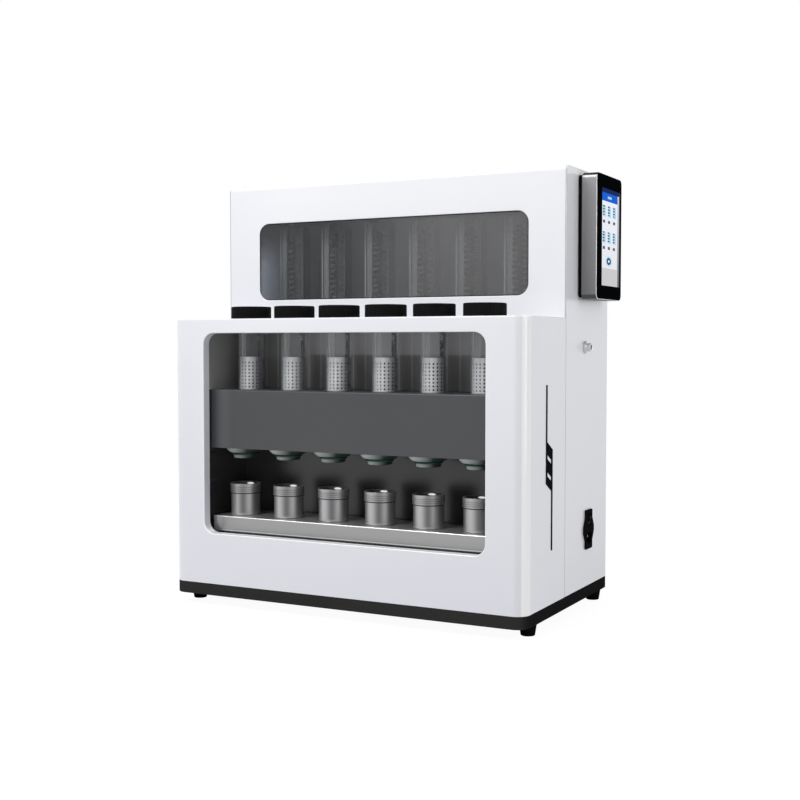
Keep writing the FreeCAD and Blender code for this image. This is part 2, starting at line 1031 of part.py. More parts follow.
def power_rocker():
    """Rocker of the power switch, resting tipped to its off side."""
    barrel = Part.makeCylinder(
        rocker_radius,
        rocker_width,
        Vector(rocker_x, inlet_y - rocker_width / 2, rocker_z),
        Vector(0, 1, 0),
    )
    slope = math.tan(math.radians(rocker_tilt))
    face = rocker_pivot_depth + rocker_radius * slope
    reach = 2 * rocker_radius
    outline = [
        (rocker_x - reach, rocker_z - reach),
        (rocker_x + face - reach * slope, rocker_z - reach),
        (rocker_x + face, rocker_z),
        (rocker_x + face - reach * slope, rocker_z + reach),
        (rocker_x - reach, rocker_z + reach),
    ]
    y = inlet_y - rocker_width / 2
    points = [Vector(px, y, pz) for px, pz in outline]
    wedge = Part.Face(Part.makePolygon(points + points[:1])).extrude(Vector(0, rocker_width, 0))
    rocker = barrel.common(wedge)
    rocker.rotate(Vector(rocker_x, y, rocker_z), Vector(0, 1, 0), rocker_tilt)
    return rocker


def screen_plate(inset, radius, x0, x1):
    """A plate of the screen's outline, smaller by an inset."""
    half = screen_width / 2 - inset
    plate = block(
        x0,
        x1,
        screen_y - half,
        screen_y + half,
        screen_bottom_z + inset,
        screen_bottom_z + screen_height - inset,
    )
    return rounded(plate, radius, Vector(1, 0, 0))


def screen_bracket():
    """Black rear shell that holds the screen off the side."""
    radius = screen_radius - screen_bracket_inset
    return screen_plate(
        screen_bracket_inset, radius, half_width, half_width + screen_bracket_depth
    )


def screen_housing():
    """Grey metal housing of the touch screen."""
    radius = screen_radius - screen_housing_inset
    return screen_plate(
        screen_housing_inset, radius, half_width + screen_bracket_depth, screen_glass_x
    )


def screen_glass():
    """Black front glass of the touch screen."""
    return screen_plate(0, screen_radius, screen_glass_x, screen_front_x)


def side_stripe():
    """Dark inlay on the right-hand side: two thin lines joined by a slanted block."""
    low = base_top_z + stripe_block_above_base
    high = low + stripe_block_height
    front = stripe_front_y
    rear = front + stripe_block_width
    step = stripe_slant * stripe_width / stripe_block_width
    outline = [
        (front, high + stripe_upper_length),
        (front + stripe_width, high + stripe_upper_length),
        (front + stripe_width, high - step),
        (rear, high - stripe_slant),
        (rear, low - stripe_slant - stripe_lower_length),
        (rear - stripe_width, low - stripe_slant - stripe_lower_length),
        (rear - stripe_width, low - stripe_slant + step),
        (front, low),
    ]
    stripe = prism_x(outline, half_width, stripe_thickness)
    slash_front = front + slash_inset
    slash_rear = rear - slash_inset
    fall = stripe_slant * (slash_rear - slash_front) / stripe_block_width
    for i in range(slash_count):
        top = high - stripe_block_height / 3 - i * slash_pitch
        slash = prism_x(
            [
                (slash_front, top),
                (slash_rear, top - fall),
                (slash_rear, top - fall - slash_height),
                (slash_front, top - slash_height),
            ],
            half_width,
            stripe_thickness,
        )
        stripe = stripe.cut(slash)
    return stripe


def power_supply():
    """Power supply on the floor of the base."""
    return block(
        supply_x - supply_length / 2,
        supply_x + supply_length / 2,
        electrics_front_y,
        electrics_rear_y,
        tray_floor_z,
        tray_floor_z + supply_height,
    )


def control_board():
    """Control board on four spacers above the floor of the base."""
    front, rear = electrics_front_y, electrics_rear_y
    left = board_x - board_length / 2
    right = board_x + board_length / 2
    board_z = tray_floor_z + board_spacer
    board = block(left, right, front, rear, board_z, board_z + board_thickness)
    for x in (left, right - board_spacer_width):
        for y in (front, rear - board_spacer_width):
            spacer = block(
                x, x + board_spacer_width, y, y + board_spacer_width, tray_floor_z, board_z
            )
            board = board.fuse(spacer)
    return board.removeSplitter()


def all_parts():
    """Every node of the object by name."""
    parts = {
        "base_tray": base_tray(),
        "feet": feet(),
        "front_shell": front_shell(),
        "side_panel_left": side_panel(-1),
        "side_panel_right": side_panel(1),
        "tower_shell": tower_shell(),
        "tower_window": tower_window(),
        "rear_cover": rear_cover(),
        "cover_screws": cover_screws(),
        "chamber_liner": chamber_liner(),
        "beam_cover": beam_cover(),
        "chamber_block": chamber_block(),
        "seal_flanges": seal_flanges(),
        "seal_gaskets": seal_gaskets(),
        "seal_plugs": seal_plugs(),
        "glass_chambers": glass_chambers(),
        "vapour_tubes": vapour_tubes(),
        "hot_plate": hot_plate(),
        "heater_mat": heater_mat(),
        "lift_carriage": lift_carriage(),
        "lead_nut": lead_nut(),
        "lead_screw": lead_screw(),
        "guide_rods": guide_rods(),
        "lift_frame": lift_frame(),
        "lift_motor": lift_motor(),
        "condenser_shelf": condenser_shelf(),
        "water_manifold": water_manifold(),
        "condenser_jackets": condenser_jackets(),
        "condenser_cores": condenser_cores(),
        "hose_barbs": hose_barbs(),
        "vent_spigot": vent_spigot(),
        "spigot_nut": spigot_nut(),
        "power_inlet": power_inlet(),
        "power_rocker": power_rocker(),
        "screen_bracket": screen_bracket(),
        "screen_housing": screen_housing(),
        "screen_glass": screen_glass(),
        "side_stripe": side_stripe(),
        "power_supply": power_supply(),
        "control_board": control_board(),
    }
    for number, x in enumerate(stations(), 1):
        parts[f"cup_{number}"] = cup(x)
        parts[f"basket_{number}"] = basket(x)
        parts[f"cap_{number}"] = cap(x)
    return parts


def write_parts():
    """Place each node about the object's origin and write it."""
    os.makedirs("parts", exist_ok=True)
    for node, shape in all_parts().items():
        shape.translate(Vector(-origin_x, -origin_y, 0))
        shape.exportStep(f"parts/{node}.step")


write_parts()
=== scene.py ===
import math

import bmesh
import bpy
from mathutils import Matrix, Vector


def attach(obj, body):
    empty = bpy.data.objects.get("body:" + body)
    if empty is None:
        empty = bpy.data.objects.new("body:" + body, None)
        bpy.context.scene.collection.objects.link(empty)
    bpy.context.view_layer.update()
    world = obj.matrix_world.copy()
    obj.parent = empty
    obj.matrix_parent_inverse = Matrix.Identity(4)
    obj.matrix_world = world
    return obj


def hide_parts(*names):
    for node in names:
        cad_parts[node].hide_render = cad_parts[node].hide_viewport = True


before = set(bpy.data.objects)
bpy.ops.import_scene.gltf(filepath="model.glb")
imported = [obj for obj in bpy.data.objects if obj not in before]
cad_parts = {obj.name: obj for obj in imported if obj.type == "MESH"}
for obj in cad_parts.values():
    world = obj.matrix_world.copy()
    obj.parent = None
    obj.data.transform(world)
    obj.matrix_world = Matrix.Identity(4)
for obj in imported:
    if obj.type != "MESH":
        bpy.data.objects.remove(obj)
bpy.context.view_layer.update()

# Sizes are millimetres from the middle of the six stations, the front face and the bench.
# PLACE carries them into the object's own frame, in metres.
FRAME_X = 16.0
FRAME_Y = 192.0
PLACE = Matrix.Translation((-FRAME_X / 1000, -FRAME_Y / 1000, 0)) @ Matrix.Scale(0.001, 4)
SPACING = 83.0
STATIONS = [SPACING * (i - 2.5) for i in range(6)]
# Places nearer than NEAR are the same, and a straight edge strays by less than STRAY
NEAR = 1e-3
STRAY = 1e-4
# Which way is right for the photograph's eye, along x and along y
EYE_RIGHT = (0.886, 0.464)

# Cabinet
HALF = 305.0
INSIDE = 303.5
SHEET = 1.5
SEAM = 0.5
DEPTH = 356.0
CORNER = 20.5
BASE_LOW = 17.0
BASE_TOP = 35.8
LEDGE = 457.6
TOWER_FRONT = 160.5
TOWER_TOP = 685.3
TOWER_EDGE = 8.0
WINDOW = 244.0
WINDOW_LOW = 117.0
WINDOW_HIGH = 435.0
WINDOW_CORNER = 18.0
RETURN = 15.5
PANE_LOW = 492.0
PANE_HIGH = 620.6
PANE_CORNER = 18.5

# Extraction chamber
CHAMBER_HALF = 250.0
CHAMBER_BACK = 125.5
CUP_Y = 63.0
GLASS_Y = 81.5
BEAM_FRONT = 29.0
BEAM_LOW = 251.0
BEAM_TOP = 345.0
BLOCK_TOP = 307.0
PLATE_HALF = 245.0
PLATE_FRONT = 26.0
PLATE_BACK = 120.5
PLATE_TOP = 142.0
CUP_TOP = 193.0
COLLAR_LOW = 178.0
FLANGE_Z = 243.4
GASKET_Z = 239.6
PLUG_Z = 233.0

# Glass, baskets and caps
HOLE = 22.0
GLASS_RADIUS = 21.5
GLASS_WALL = 2.1
GLASS_TOP = 473.4
RISER_Y = 107.7
RISER_RADIUS = 3.5
BASKET_RADIUS = 18.5
BASKET_LOW = 307.3
BASKET_TOP = 397.6
BAIL_TOP = 470.9
CAP_RADIUS = 32.3
CAP_LOW = 458.0
CAP_HEIGHT = 20.4

# Condensers
CONDENSER_Y = 215.0
CONDENSER_RADIUS = 24.4
CONDENSER_LOW = 477.1
CONDENSER_TOP = 620.1

# Fittings on the right-hand side
SCREEN_Y = 268.5
SCREEN_LOW = 486.5
SCREEN_WIDTH = 118.0
SCREEN_HEIGHT = 192.0
HOUSING_X = 311.0
SCREEN_X = 337.0
DISPLAY_Y = 230.5
DISPLAY_WIDTH = 87.0
DISPLAY_TOP = 657.0
DISPLAY_HEIGHT = 149.0
SPIGOT_Y = 245.0
SPIGOT_Z = 413.0
INLET_Y = 265.0
INLET_Z = 125.8
INLET_HALF = 13.0
INLET_RISE = 29.0
INLET_PLATE = 3.0
SOCKET_Z = 112.3
ROCKER_Z = 141.8
ROCKER_LEAN = math.radians(12)

# Hose ends and louvres on the rear
HOSES = (-200.0, -140.0)
HOSE_Z = 397.6
LOUVRES = (-75.0, 75.0)
LOUVRE_HALF = 45.0


# Materials


def tone(red, green, blue):
    """A colour as it shows on a screen, 0 to 255, in the renderer's light values."""
    shares = [level / 255 for level in (red, green, blue)]
    return (
        *[s / 12.92 if s <= 0.04045 else ((s + 0.055) / 1.055) ** 2.4 for s in shares],
        1.0,
    )


class Wire:
    """A socket of a node graph that takes part in ordinary sums."""

    def __init__(self, graph, socket):
        self.graph = graph
        self.socket = socket

    def math(self, operation, *values):
        sockets = dict(enumerate(values))
        return self.graph.node("ShaderNodeMath", {"operation": operation}, sockets)

    def __add__(self, other):
        return self.math("ADD", self, other)

    def __radd__(self, other):
        return self.math("ADD", other, self)

    def __sub__(self, other):
        return self.math("SUBTRACT", self, other)

    def __rsub__(self, other):
        return self.math("SUBTRACT", other, self)

    def __mul__(self, other):
        return self.math("MULTIPLY", self, other)

    def __rmul__(self, other):
        return self.math("MULTIPLY", other, self)

    def __truediv__(self, other):
        return self.math("DIVIDE", self, other)

    def __gt__(self, other):
        return self.math("GREATER_THAN", self, other)

    def __lt__(self, other):
        return self.math("LESS_THAN", self, other)

    def __pow__(self, other):
        return self.math("POWER", self, other)

    def __mod__(self, other):
        return self.math("FLOORED_MODULO", self, other)

    def cosine(self):
        return self.math("COSINE", self)


class Graph:
    """The node graph of a material or of the world."""

    def __init__(self, owner):
        owner.use_nodes = True
        self.tree = owner.node_tree

    def feed(self, socket, value):
        """Give a socket a value or a wire."""
        if isinstance(value, Wire):
            self.tree.links.new(value.socket, socket)
        else:
            socket.default_value = value

    def node(self, kind, settings=None, sockets=None, output=0):
        """Any node: its settings first, then its sockets."""
        made = self.tree.nodes.new(kind)
        for name, value in (settings or {}).items():
            setattr(made, name, value)
        for name, value in (sockets or {}).items():
            self.feed(made.inputs[name], value)
        return Wire(self, made.outputs[output])

    def seen(self):
        """1 for what the eye, a reflection or a glass shows, and 0 for what lights the object."""
        rays = self.node("ShaderNodeLightPath").socket.node
        kinds = ("Is Camera Ray", "Is Glossy Ray", "Is Transmission Ray")
        eye, gloss, through = [Wire(self, rays.outputs[kind]) for kind in kinds]
        return eye.math("MAXIMUM", eye.math("MAXIMUM", eye, gloss), through)


class Finish(Graph):
    """A material built from nodes round one shader, with what is the same all over given first."""

    def __init__(self, name, **constants):
        self.material = bpy.data.materials.new(name)
        super().__init__(self.material)
        self.shader = self.tree.nodes["Principled BSDF"]
        names = {"ior": "IOR", "specular": "Specular IOR Level"}
        for name, value in constants.items():
            self.set(names.get(name, name.replace("_", " ").title()), value)
        self.where = self.node("ShaderNodeTexCoord", output="Object")

    def set(self, socket, value):
        """Give a socket of the shader a value or a wire."""
        self.feed(self.shader.inputs[socket], value)

    def axis(self, letter):
        """One of the object's own coordinates, in metres."""
        return self.node("ShaderNodeSeparateXYZ", None, {"Vector": self.where}, letter)

    def across(self):
        """Millimetres to the right of the stations' middle."""
        return self.axis("X") * 1000 + FRAME_X

    def back(self):
        """Millimetres behind the front face."""
        return self.axis("Y") * 1000 + FRAME_Y

    def height(self):
        """Millimetres over the bench."""
        return self.axis("Z") * 1000

    def grain(self, scale, stretch=(1, 1, 1), detail=2.0):
        """Noise in the object's own coordinates, stretched along some of them."""
        sockets = {"Vector": self.where, "Scale": stretch}
        where = self.node("ShaderNodeMapping", None, sockets)
        sockets = {"Vector": where, "Scale": scale, "Detail": detail}
        return self.node("ShaderNodeTexNoise", None, sockets)

    def ramp(self, value, low, high):
        """0 up to a low value, 1 from a high one, and straight between them."""
        sockets = {"Value": value, "From Min": low, "From Max": high}
        return self.node("ShaderNodeMapRange", None, sockets)

    def band(self, value, low, high, soft=1.0):
        """1 between two values, fading out on both sides."""
        return self.ramp(value, low - soft, low) * self.ramp(value, high + soft, high)

    def aside(self, axis_y):
        """Millimetres to the right of a station's axis, seen from the front right."""
        along = (self.across() + 3 * SPACING) % SPACING - SPACING / 2
        return EYE_RIGHT[0] * along + EYE_RIGHT[1] * (self.back() - axis_y)

    def mix(self, share, first, second):
        """A colour between two colours."""
        sockets = {0: share, 6: first, 7: second}
        return self.node("ShaderNodeMix", {"data_type": "RGBA"}, sockets, 2)

    def lay(self, colour, *coats):
        """Lay colours over a colour, one after another, each with its share."""
        for share, coat in coats:
            colour = self.mix(share, colour, coat)
        return colour

    def surface(self, grain, roughness, sway=0.1, depth=0.00002):
        """Sway the roughness with a grain and raise the surface by it, to a depth in metres."""
        self.set("Roughness", roughness + sway * (grain - 0.5))
        self.set("Normal", self.node("ShaderNodeBump", None, {"Height": grain, "Distance": depth}))
        return self.material

    def facing(self):
        """0 where the surface faces the eye and 1 along its outline."""
        return self.node("ShaderNodeLayerWeight", None, {"Blend": 0.5}, "Facing")


def shell_finish():
    """White baked paint: faint orange peel and a slow drift in tone.

    It has painted light, so it pales a little with height, and painted shade towards the left end.
    Painted shade makes it greyer along the side covers' front edges, and painted highlights make it
    whitest on the windows' turned rims. The front corner has a soft band of painted shade and a
    soft band of painted highlight."""
    paint = Finish("shell_paint", coat_weight=0.6, coat_roughness=0.12)
    drift = paint.grain(7.0)
    fine = paint.grain(900)
    across = paint.across()
    height = paint.height()
    behind_tower = paint.back() - TOWER_FRONT
    pale = paint.mix(drift, tone(246, 247, 250), tone(242, 243, 247))
    deep = paint.mix(drift, tone(233, 234, 240), tone(229, 230, 237))
    # Painted light: paler with height, with painted shade towards the left end.
    rise = paint.ramp(height, 50, 450) * 0.65 + paint.ramp(height, 500, 660) * 0.35
    rise = rise - 0.4 * paint.ramp(across, -184, -314)
    # Painted shade and a painted highlight as soft bands down the front corner.
    corner = paint.back() < CORNER
    shade = corner * paint.band(across, HALF - 15.2, HALF - 9.0, 1.4)
    painted_gleam = corner * paint.band(across, HALF - 6.5, HALF + 0.2, 1.2)
    # Painted highlights on the windows' turned rims.
    upper = paint.band(behind_tower, 0.1, 1.4, 0.1)
    upper = upper * paint.band(height, PANE_LOW - 7, PANE_HIGH + 7)
    lower = paint.band(paint.back(), 0.1, 1.8, 0.1)
    lower = lower * paint.band(height, WINDOW_LOW - 5, WINDOW_HIGH + 5)
    rim_highlight = paint.band(across, -WINDOW - 4, WINDOW + 4) * (upper + lower)
    # Painted shade along the side covers' front edges.
    left = (across < 1.8 - HALF) * paint.band(behind_tower, 0.2, 1.0, 0.2)
    right = (across > HALF - 0.5) * paint.band(behind_tower, -0.8, 1.2, 0.3)
    grey, white = tone(176, 178, 181), tone(255, 255, 255)
    coats = ((shade * 0.12, grey), (painted_gleam, white), (rim_highlight, white), ((left + right) * 0.8, grey))
    paint.set("Base Color", paint.lay(paint.mix(rise, deep, pale), *coats))
    return paint.surface(fine, 0.34, 0.08, 0.00003)


def brushed(name, colour, shade, roughness, stretch, scale=60, streak=0.10, metallic=1.0):
    """Metal worked in one direction: long fine streaks in tone and gloss."""
    metal = Finish(name, metallic=metallic)
    streaks = metal.grain(scale, stretch, 4.0)
    cloud = metal.grain(14.0)
    metal.set("Base Color", metal.mix(streaks * 0.7 + cloud * 0.3, colour, shade))
    return metal.surface(streaks, roughness, streak, 0.00002)


def moulded(name, colour, shade, roughness, relief=0.00004, **constants):
    """Moulded plastic or rubber with a fine spark-eroded grain."""
    plastic = Finish(name, **constants)
    grain = plastic.grain(1400, detail=3.0)
    cloud = plastic.grain(20.0)
    plastic.set("Base Color", plastic.mix(cloud, colour, shade))
    return plastic.surface(grain, roughness, 0.12, relief)


def clear_glass(name, axis_y, clear, edge, sharp, reflection_bands):
    """Thin glass: clear face on, denser along its outline, with painted reflections as pale
    bands down its length.

    Each painted reflection band has its reach to the right of the glass's axis and its density."""
    glass = Finish(name, ior=1.5)
    smear = glass.grain(30.0, (1, 1, 0.2))
    aside = glass.aside(axis_y)
    alpha = clear + edge * glass.facing() ** sharp + 0.02 * smear
    # Painted reflections: denser, paler bands at set places across the glass.
    for low, high, density in reflection_bands:
        alpha = alpha + density * glass.band(aside, low, high)
    glass.set("Base Color", glass.mix(smear, tone(232, 236, 238), tone(205, 210, 212)))
    glass.set("Alpha", alpha)
    glass.set("Roughness", 0.05 + 0.05 * smear)
    return glass.material


def coil_tube():
    """The condensers' coiled glass: mottled, with a painted highlight down its left side."""
    glass = Finish("coil_glass", ior=1.5)
    mottle = glass.ramp(glass.grain(160.0, (1, 1, 1.6)), 0.42, 0.58)
    # Painted highlight: paler and denser down the left side.
    side = glass.ramp(glass.aside(CONDENSER_Y), 4, -8)
    colour = glass.mix(mottle, tone(104, 105, 106), tone(206, 208, 210))
    glass.set("Base Color", glass.mix(side, tone(96, 97, 98), colour))
    glass.set("Alpha", 0.40 + 0.35 * side + 0.2 * glass.facing() ** 2)
    glass.set("Roughness", 0.10 + 0.15 * mottle)
    return glass.material


def riser_tube():
    """The vapour tubes' glass, filmed with dark drops."""
    glass = Finish("riser_glass", ior=1.5)
    mottle = glass.ramp(glass.grain(210.0, (1, 1, 0.8), 4.0), 0.40, 0.60)
    glass.set("Base Color", glass.mix(mottle, tone(58, 58, 54), tone(176, 176, 170)))
    glass.set("Alpha", 0.55 + 0.3 * glass.facing() ** 3)
    glass.set("Roughness", 0.15 + 0.1 * mottle)
    return glass.material


def smoked_pane():
    """The tower's grey pane: denser towards its top, with painted light making it paler to the
    right and a painted reflection as a pale gleam at its left end.
    """
    pane = Finish("smoked_pane", ior=1.45, roughness=0.03)
    rise = pane.ramp(pane.height(), PANE_LOW, PANE_HIGH)
    # Painted reflection: a pale bluish gleam at the left end.
    painted_gleam = pane.ramp(pane.across(), 55 - WINDOW, -2 - WINDOW)
    painted_gleam = painted_gleam * pane.ramp(pane.height(), PANE_HIGH - 20.6, PANE_HIGH - 70.6)
    # Painted light: the pane paler and denser towards the right.
    right = pane.ramp(pane.across(), -84, 76)
    smear = pane.grain(9.0, (1, 1, 0.3))
    grey = pane.mix(smear, tone(74, 75, 77), tone(84, 85, 88))
    coats = ((right, tone(132, 132, 133)), (painted_gleam, tone(140, 147, 158)))
    pane.set("Base Color", pane.lay(grey, *coats))
    pane.set("Alpha", 0.17 + 0.08 * rise + 0.03 * smear + 0.35 * painted_gleam + 0.1 * right)
    return pane.material


def chamber_liner():
    """The chamber's dark lining, with painted light that makes it paler over the beam and palest
    high on the right, and painted reflections as pale upright lines over the beam.
    """
    liner = Finish("liner_paint", specular=0.6)
    drift = liner.grain(7.0)
    fine = liner.grain(900)
    # Painted light over the beam and high on the right.
    painted_light_above = liner.height() > BEAM_TOP
    high = liner.ramp(liner.height(), 399, 403) * liner.ramp(liner.across(), -139, -112)
    # Painted reflections of the tubes as pale upright lines.
    aside = liner.aside(CHAMBER_BACK)
    painted_glints = liner.band(aside, -0.5, 0.7) + liner.band(aside, 19.5, 20.7)
    painted_glints = painted_glints * painted_light_above * (liner.across() > -WINDOW)
    colour = liner.lay(
        liner.mix(drift, tone(40, 40, 41), tone(46, 46, 47)),
        (painted_light_above, tone(150, 150, 149)),
        (high, tone(192, 192, 194)),
        (painted_glints * 0.5, tone(214, 214, 214)),
    )
    liner.set("Base Color", colour)
    return liner.surface(fine, 0.24, 0.08, 0.00002)


def display_front():
    """The lit display: two bars, two rows of tiles with marks, and a round button."""
    display = Finish(
        "display_front",
        roughness=0.3,
        base_color=tone(8, 8, 10),
        specular=0.0,
        emission_strength=1.0,
    )
    across = (display.back() - DISPLAY_Y) / DISPLAY_WIDTH
    down = (DISPLAY_TOP - display.height()) / DISPLAY_HEIGHT

    def patch(left, right, top, bottom):
        return (across > left) * (across < right) * (down > top) * (down < bottom)

    ground = display.mix(down, tone(236, 243, 250), tone(232, 230, 236))
    coats = [
        (patch(0, 0.84, 0.82, 1), tone(203, 203, 205)),
        (patch(0, 1, 0, 0.045), tone(30, 44, 92)),
        (patch(0, 0.86, 0.045, 0.13), tone(30, 98, 206)),
        (patch(0.3, 0.52, 0.075, 0.1), tone(176, 206, 250)),
    ]
    stripes = (down * DISPLAY_HEIGHT % 4.4) < 2.2
    for top in (0.175, 0.445):
        for left in (0.03, 0.31, 0.6):
            coats += [
                (patch(left, left + 0.17, top, top + 0.115), tone(176, 216, 238)),
                (patch(left, left + 0.1, top, top + 0.1) * stripes, tone(62, 76, 96)),
                (patch(left + 0.01, left + 0.13, top + 0.15, top + 0.18), tone(88, 92, 108)),
            ]
    reach = ((across - 0.38) * 45) ** 2 + ((down - 0.745) * DISPLAY_HEIGHT) ** 2
    side = display.mix(down, tone(206, 210, 216), tone(128, 130, 136))
    coats += [
        (reach < 8.2**2, tone(196, 226, 242)),
        (reach < 5.6**2, tone(24, 84, 122)),
        (reach < 2.2**2, tone(226, 236, 246)),
        (patch(0.86, 0.95, 0.05, 1), side),
        (patch(0.95, 1, 0, 1), tone(70, 72, 76)),
    ]
    display.set("Emission Color", display.lay(ground, *coats))
    return display.material


def housing_finish():
    """The screen housing's satin metal: painted light paler towards the top, painted highlights on
    the outer edges, a black top and painted shade on the lower edge.
    """
    metal = Finish("housing_metal", metallic=0.6, specular=0.2)
    rise = (metal.height() - SCREEN_LOW) / SCREEN_HEIGHT
    edge_highlight = metal.across() > SCREEN_X - 2.6
    streaks = metal.grain(60, (30, 30, 1), 4.0)
    # Painted light rising with height and near the top, painted shade on the lower edge, and
    # painted highlights on the outer edges.
    colour = metal.lay(
        metal.mix(rise, tone(122, 122, 124), tone(152, 152, 154)),
        (metal.ramp(rise, 0.94, 0.98), tone(166, 166, 166)),
        (rise < 0.035, tone(84, 84, 86)),
        (streaks * 0.2, tone(100, 101, 103)),
        (edge_highlight, tone(246, 244, 240)),
        (rise > 0.978, tone(2, 2, 3)),
    )
    metal.set("Base Color", colour)
    return metal.surface(streaks, 0.42)


def base_finish():
    """The base tray's black paint, with painted shade down its right side."""
    paint = Finish("base_paint", specular=0.0)
    fine = paint.grain(900)
    # Painted shade: darker on the right side face.
    side = paint.ramp(paint.across(), HALF - 8, HALF - 0.5)
    colour = paint.mix(paint.grain(12.0), tone(46, 46, 45), tone(56, 56, 55))
    paint.set("Base Color", paint.mix(side, colour, tone(33, 33, 34)))
    return paint.surface(fine, 0.5, 0.08, 0.00005)


def beam_finish():
    """The beam's dark grey paint, with painted light paler at its left end."""
    paint = Finish("beam_paint")
    fine = paint.grain(900)
    # Painted light: paler at the left end.
    left = paint.ramp(paint.across(), 41 - CHAMBER_HALF, 4 - CHAMBER_HALF)
    colour = paint.mix(paint.grain(7.0), tone(64, 65, 68), tone(70, 71, 74))
    paint.set("Base Color", paint.mix(left, colour, tone(104, 105, 108)))
    return paint.surface(fine, 0.4, 0.08, 0.00004)


def cup_finish():
    """The cups' turned steel with a grooved collar: painted reflections as soft upright bands,
    painted light down the right, painted shade in a line under the collar and in the grooves,
    and a painted highlight at the foot.
    """
    metal = Finish("cup_steel", metallic=0.6)
    aside = metal.aside(CUP_Y)
    height = metal.height()
    collar = height - COLLAR_LOW
    streaks = metal.grain(60, (1, 1, 60), 4.0)
    # Painted reflections as soft upright bands.
    reflection_wave = 0.5 + 0.5 * (aside * 0.246 - 2.75).cosine()
    # Painted shade in the collar's grooves and in a line under the collar.
    grooves = ((collar - 2.9) % 3 < 1.1) * metal.band(collar, 2.5, 10.5, 0.1)
    neck_shade = metal.band(collar, -1.1, 0.5, 0.2)
    # Painted highlight near the foot.
    foot = metal.ramp(height, PLATE_TOP + 5.5, PLATE_TOP + 2)
    # Painted light down the right side.
    colour = metal.lay(
        metal.mix(reflection_wave, tone(106, 106, 107), tone(184, 184, 185)),
        (metal.ramp(aside, 6, 18), tone(150, 150, 152)),
        ((collar > 0.6) * 0.4, tone(160, 160, 161)),
        (grooves * 0.3, tone(60, 60, 60)),
        (neck_shade * 0.85, tone(24, 24, 24)),
        (foot * 0.5, tone(190, 190, 190)),
        (streaks * 0.15, tone(112, 112, 113)),
    )
    metal.set("Base Color", colour)
    return metal.surface(streaks, 0.34)


def bore_finish():
    """The cups' inside, with painted shade making it dark and a painted reflection of the room
    as a glowing white patch on the wall at the right.
    """
    metal = Finish("cup_bore", emission_strength=0.5)
    # Painted reflection: a white patch on the wall at the right, which also glows.
    across = (metal.aside(CUP_Y) - 5.5) / 5.8
    up = (metal.height() - (CUP_TOP - 3.3)) / 1.6
    patch = metal.ramp(across * across + up * up, 1.2, 0.7)
    streaks = metal.grain(60, (1, 1, 60), 4.0)
    # Painted shade: the inside darker than the outer steel.
    colour = metal.mix(streaks, tone(88, 88, 89), tone(104, 104, 105))
    metal.set("Base Color", metal.mix(patch, colour, tone(255, 255, 255)))
    metal.set("Emission Color", metal.mix(patch, tone(0, 0, 0), tone(255, 255, 255)))
    metal.set("Metallic", 0.7 - 0.7 * patch)
    metal.set("Roughness", 0.30 + 0.1 * streaks)
    return metal.material


def plate_finish():
    """The hot plate's brushed face, with painted highlights as bright lines along both edges and
    painted light at its left end and on its top.
    """
    metal = Finish("plate_metal", metallic=0.9)
    height = metal.height()
    # Painted light at the left end; painted highlights along the lower and upper edges.
    left = metal.ramp(metal.across(), 18 - PLATE_HALF, 2 - PLATE_HALF)
    low_highlight = metal.band(height, WINDOW_LOW + 1.6, WINDOW_LOW + 2.9, 0.4)
    top_highlight = metal.band(height, PLATE_TOP - 1.2, PLATE_TOP - 0.1, 0.2)
    streaks = metal.grain(60, (1, 30, 30), 4.0)
    # Painted light on the top face too.
    colour = metal.lay(
        metal.mix(streaks, tone(164, 164, 164), tone(154, 154, 154)),
        (left, tone(252, 252, 252)),
        (low_highlight, tone(230, 230, 229)),
        (top_highlight, tone(255, 255, 255)),
        (height > PLATE_TOP - 0.05, tone(200, 200, 200)),
    )
    metal.set("Base Color", colour)
    return metal.surface(streaks, 0.36)


def seal_finish():
    """The seals' pale silicone, with painted light palest at the left and painted shade dark at
    the right.
    """
    seal = Finish("pale_seal", specular=0.3)
    # Painted light and shade: pale at the left, dark at the right.
    right = seal.ramp(seal.aside(CUP_Y), -26, 6)
    cloud = seal.grain(40.0)
    colour = seal.mix(cloud, tone(218, 226, 220), tone(206, 216, 210))
    seal.set("Base Color", seal.mix(right, colour, tone(48, 54, 52)))
    seal.set("Roughness", 0.25 + 0.1 * cloud)
    return seal.material


def basket_finish():
    """The baskets' drilled steel, with painted light bright at the left and painted shade duller
    at the right.
    """
    metal = Finish("basket_steel", metallic=0.35)
    # Painted light and shade: bright at the left, duller at the right.
    right = metal.ramp(metal.aside(GLASS_Y), -8, 16)
    streaks = metal.grain(60, (1, 1, 25), 4.0)
    colour = metal.mix(streaks, tone(255, 255, 255), tone(240, 240, 243))
    metal.set("Base Color", metal.mix(right, colour, tone(118, 118, 124)))
    return metal.surface(streaks, 0.42)


shell_paint = shell_finish()
base_paint = base_finish()
liner_paint = chamber_liner()
beam_paint = beam_finish()
cup_steel = cup_finish()
cup_bore = bore_finish()
plate_metal = plate_finish()
basket_steel = basket_finish()
# The drums' inner faces: the same steel with painted shade.
basket_bore = brushed(
    "basket_bore", tone(58, 58, 60), tone(48, 48, 50), 0.50, (1, 1, 25), metallic=0.5
)
plated_metal = brushed(
    "plated_metal", tone(214, 214, 216), tone(196, 196, 198), 0.18, (6, 6, 6), 40, 0.05
)
ground_steel = brushed(
    "ground_steel", tone(190, 190, 194), tone(172, 172, 176), 0.15, (1, 1, 80)
)
milled_aluminium = brushed(
    "milled_aluminium", tone(176, 177, 180), tone(160, 161, 164), 0.38, (1, 25, 25)
)
bronze = brushed("bronze", tone(190, 150, 92), tone(160, 122, 70), 0.28, (1, 1, 40))
cap_plastic = moulded("cap_plastic", tone(17, 17, 18), tone(22, 22, 23), 0.46, specular=0.05)
fitting_plastic = moulded(
    "fitting_plastic", tone(20, 20, 20), tone(26, 26, 26), 0.40, specular=0.0
)
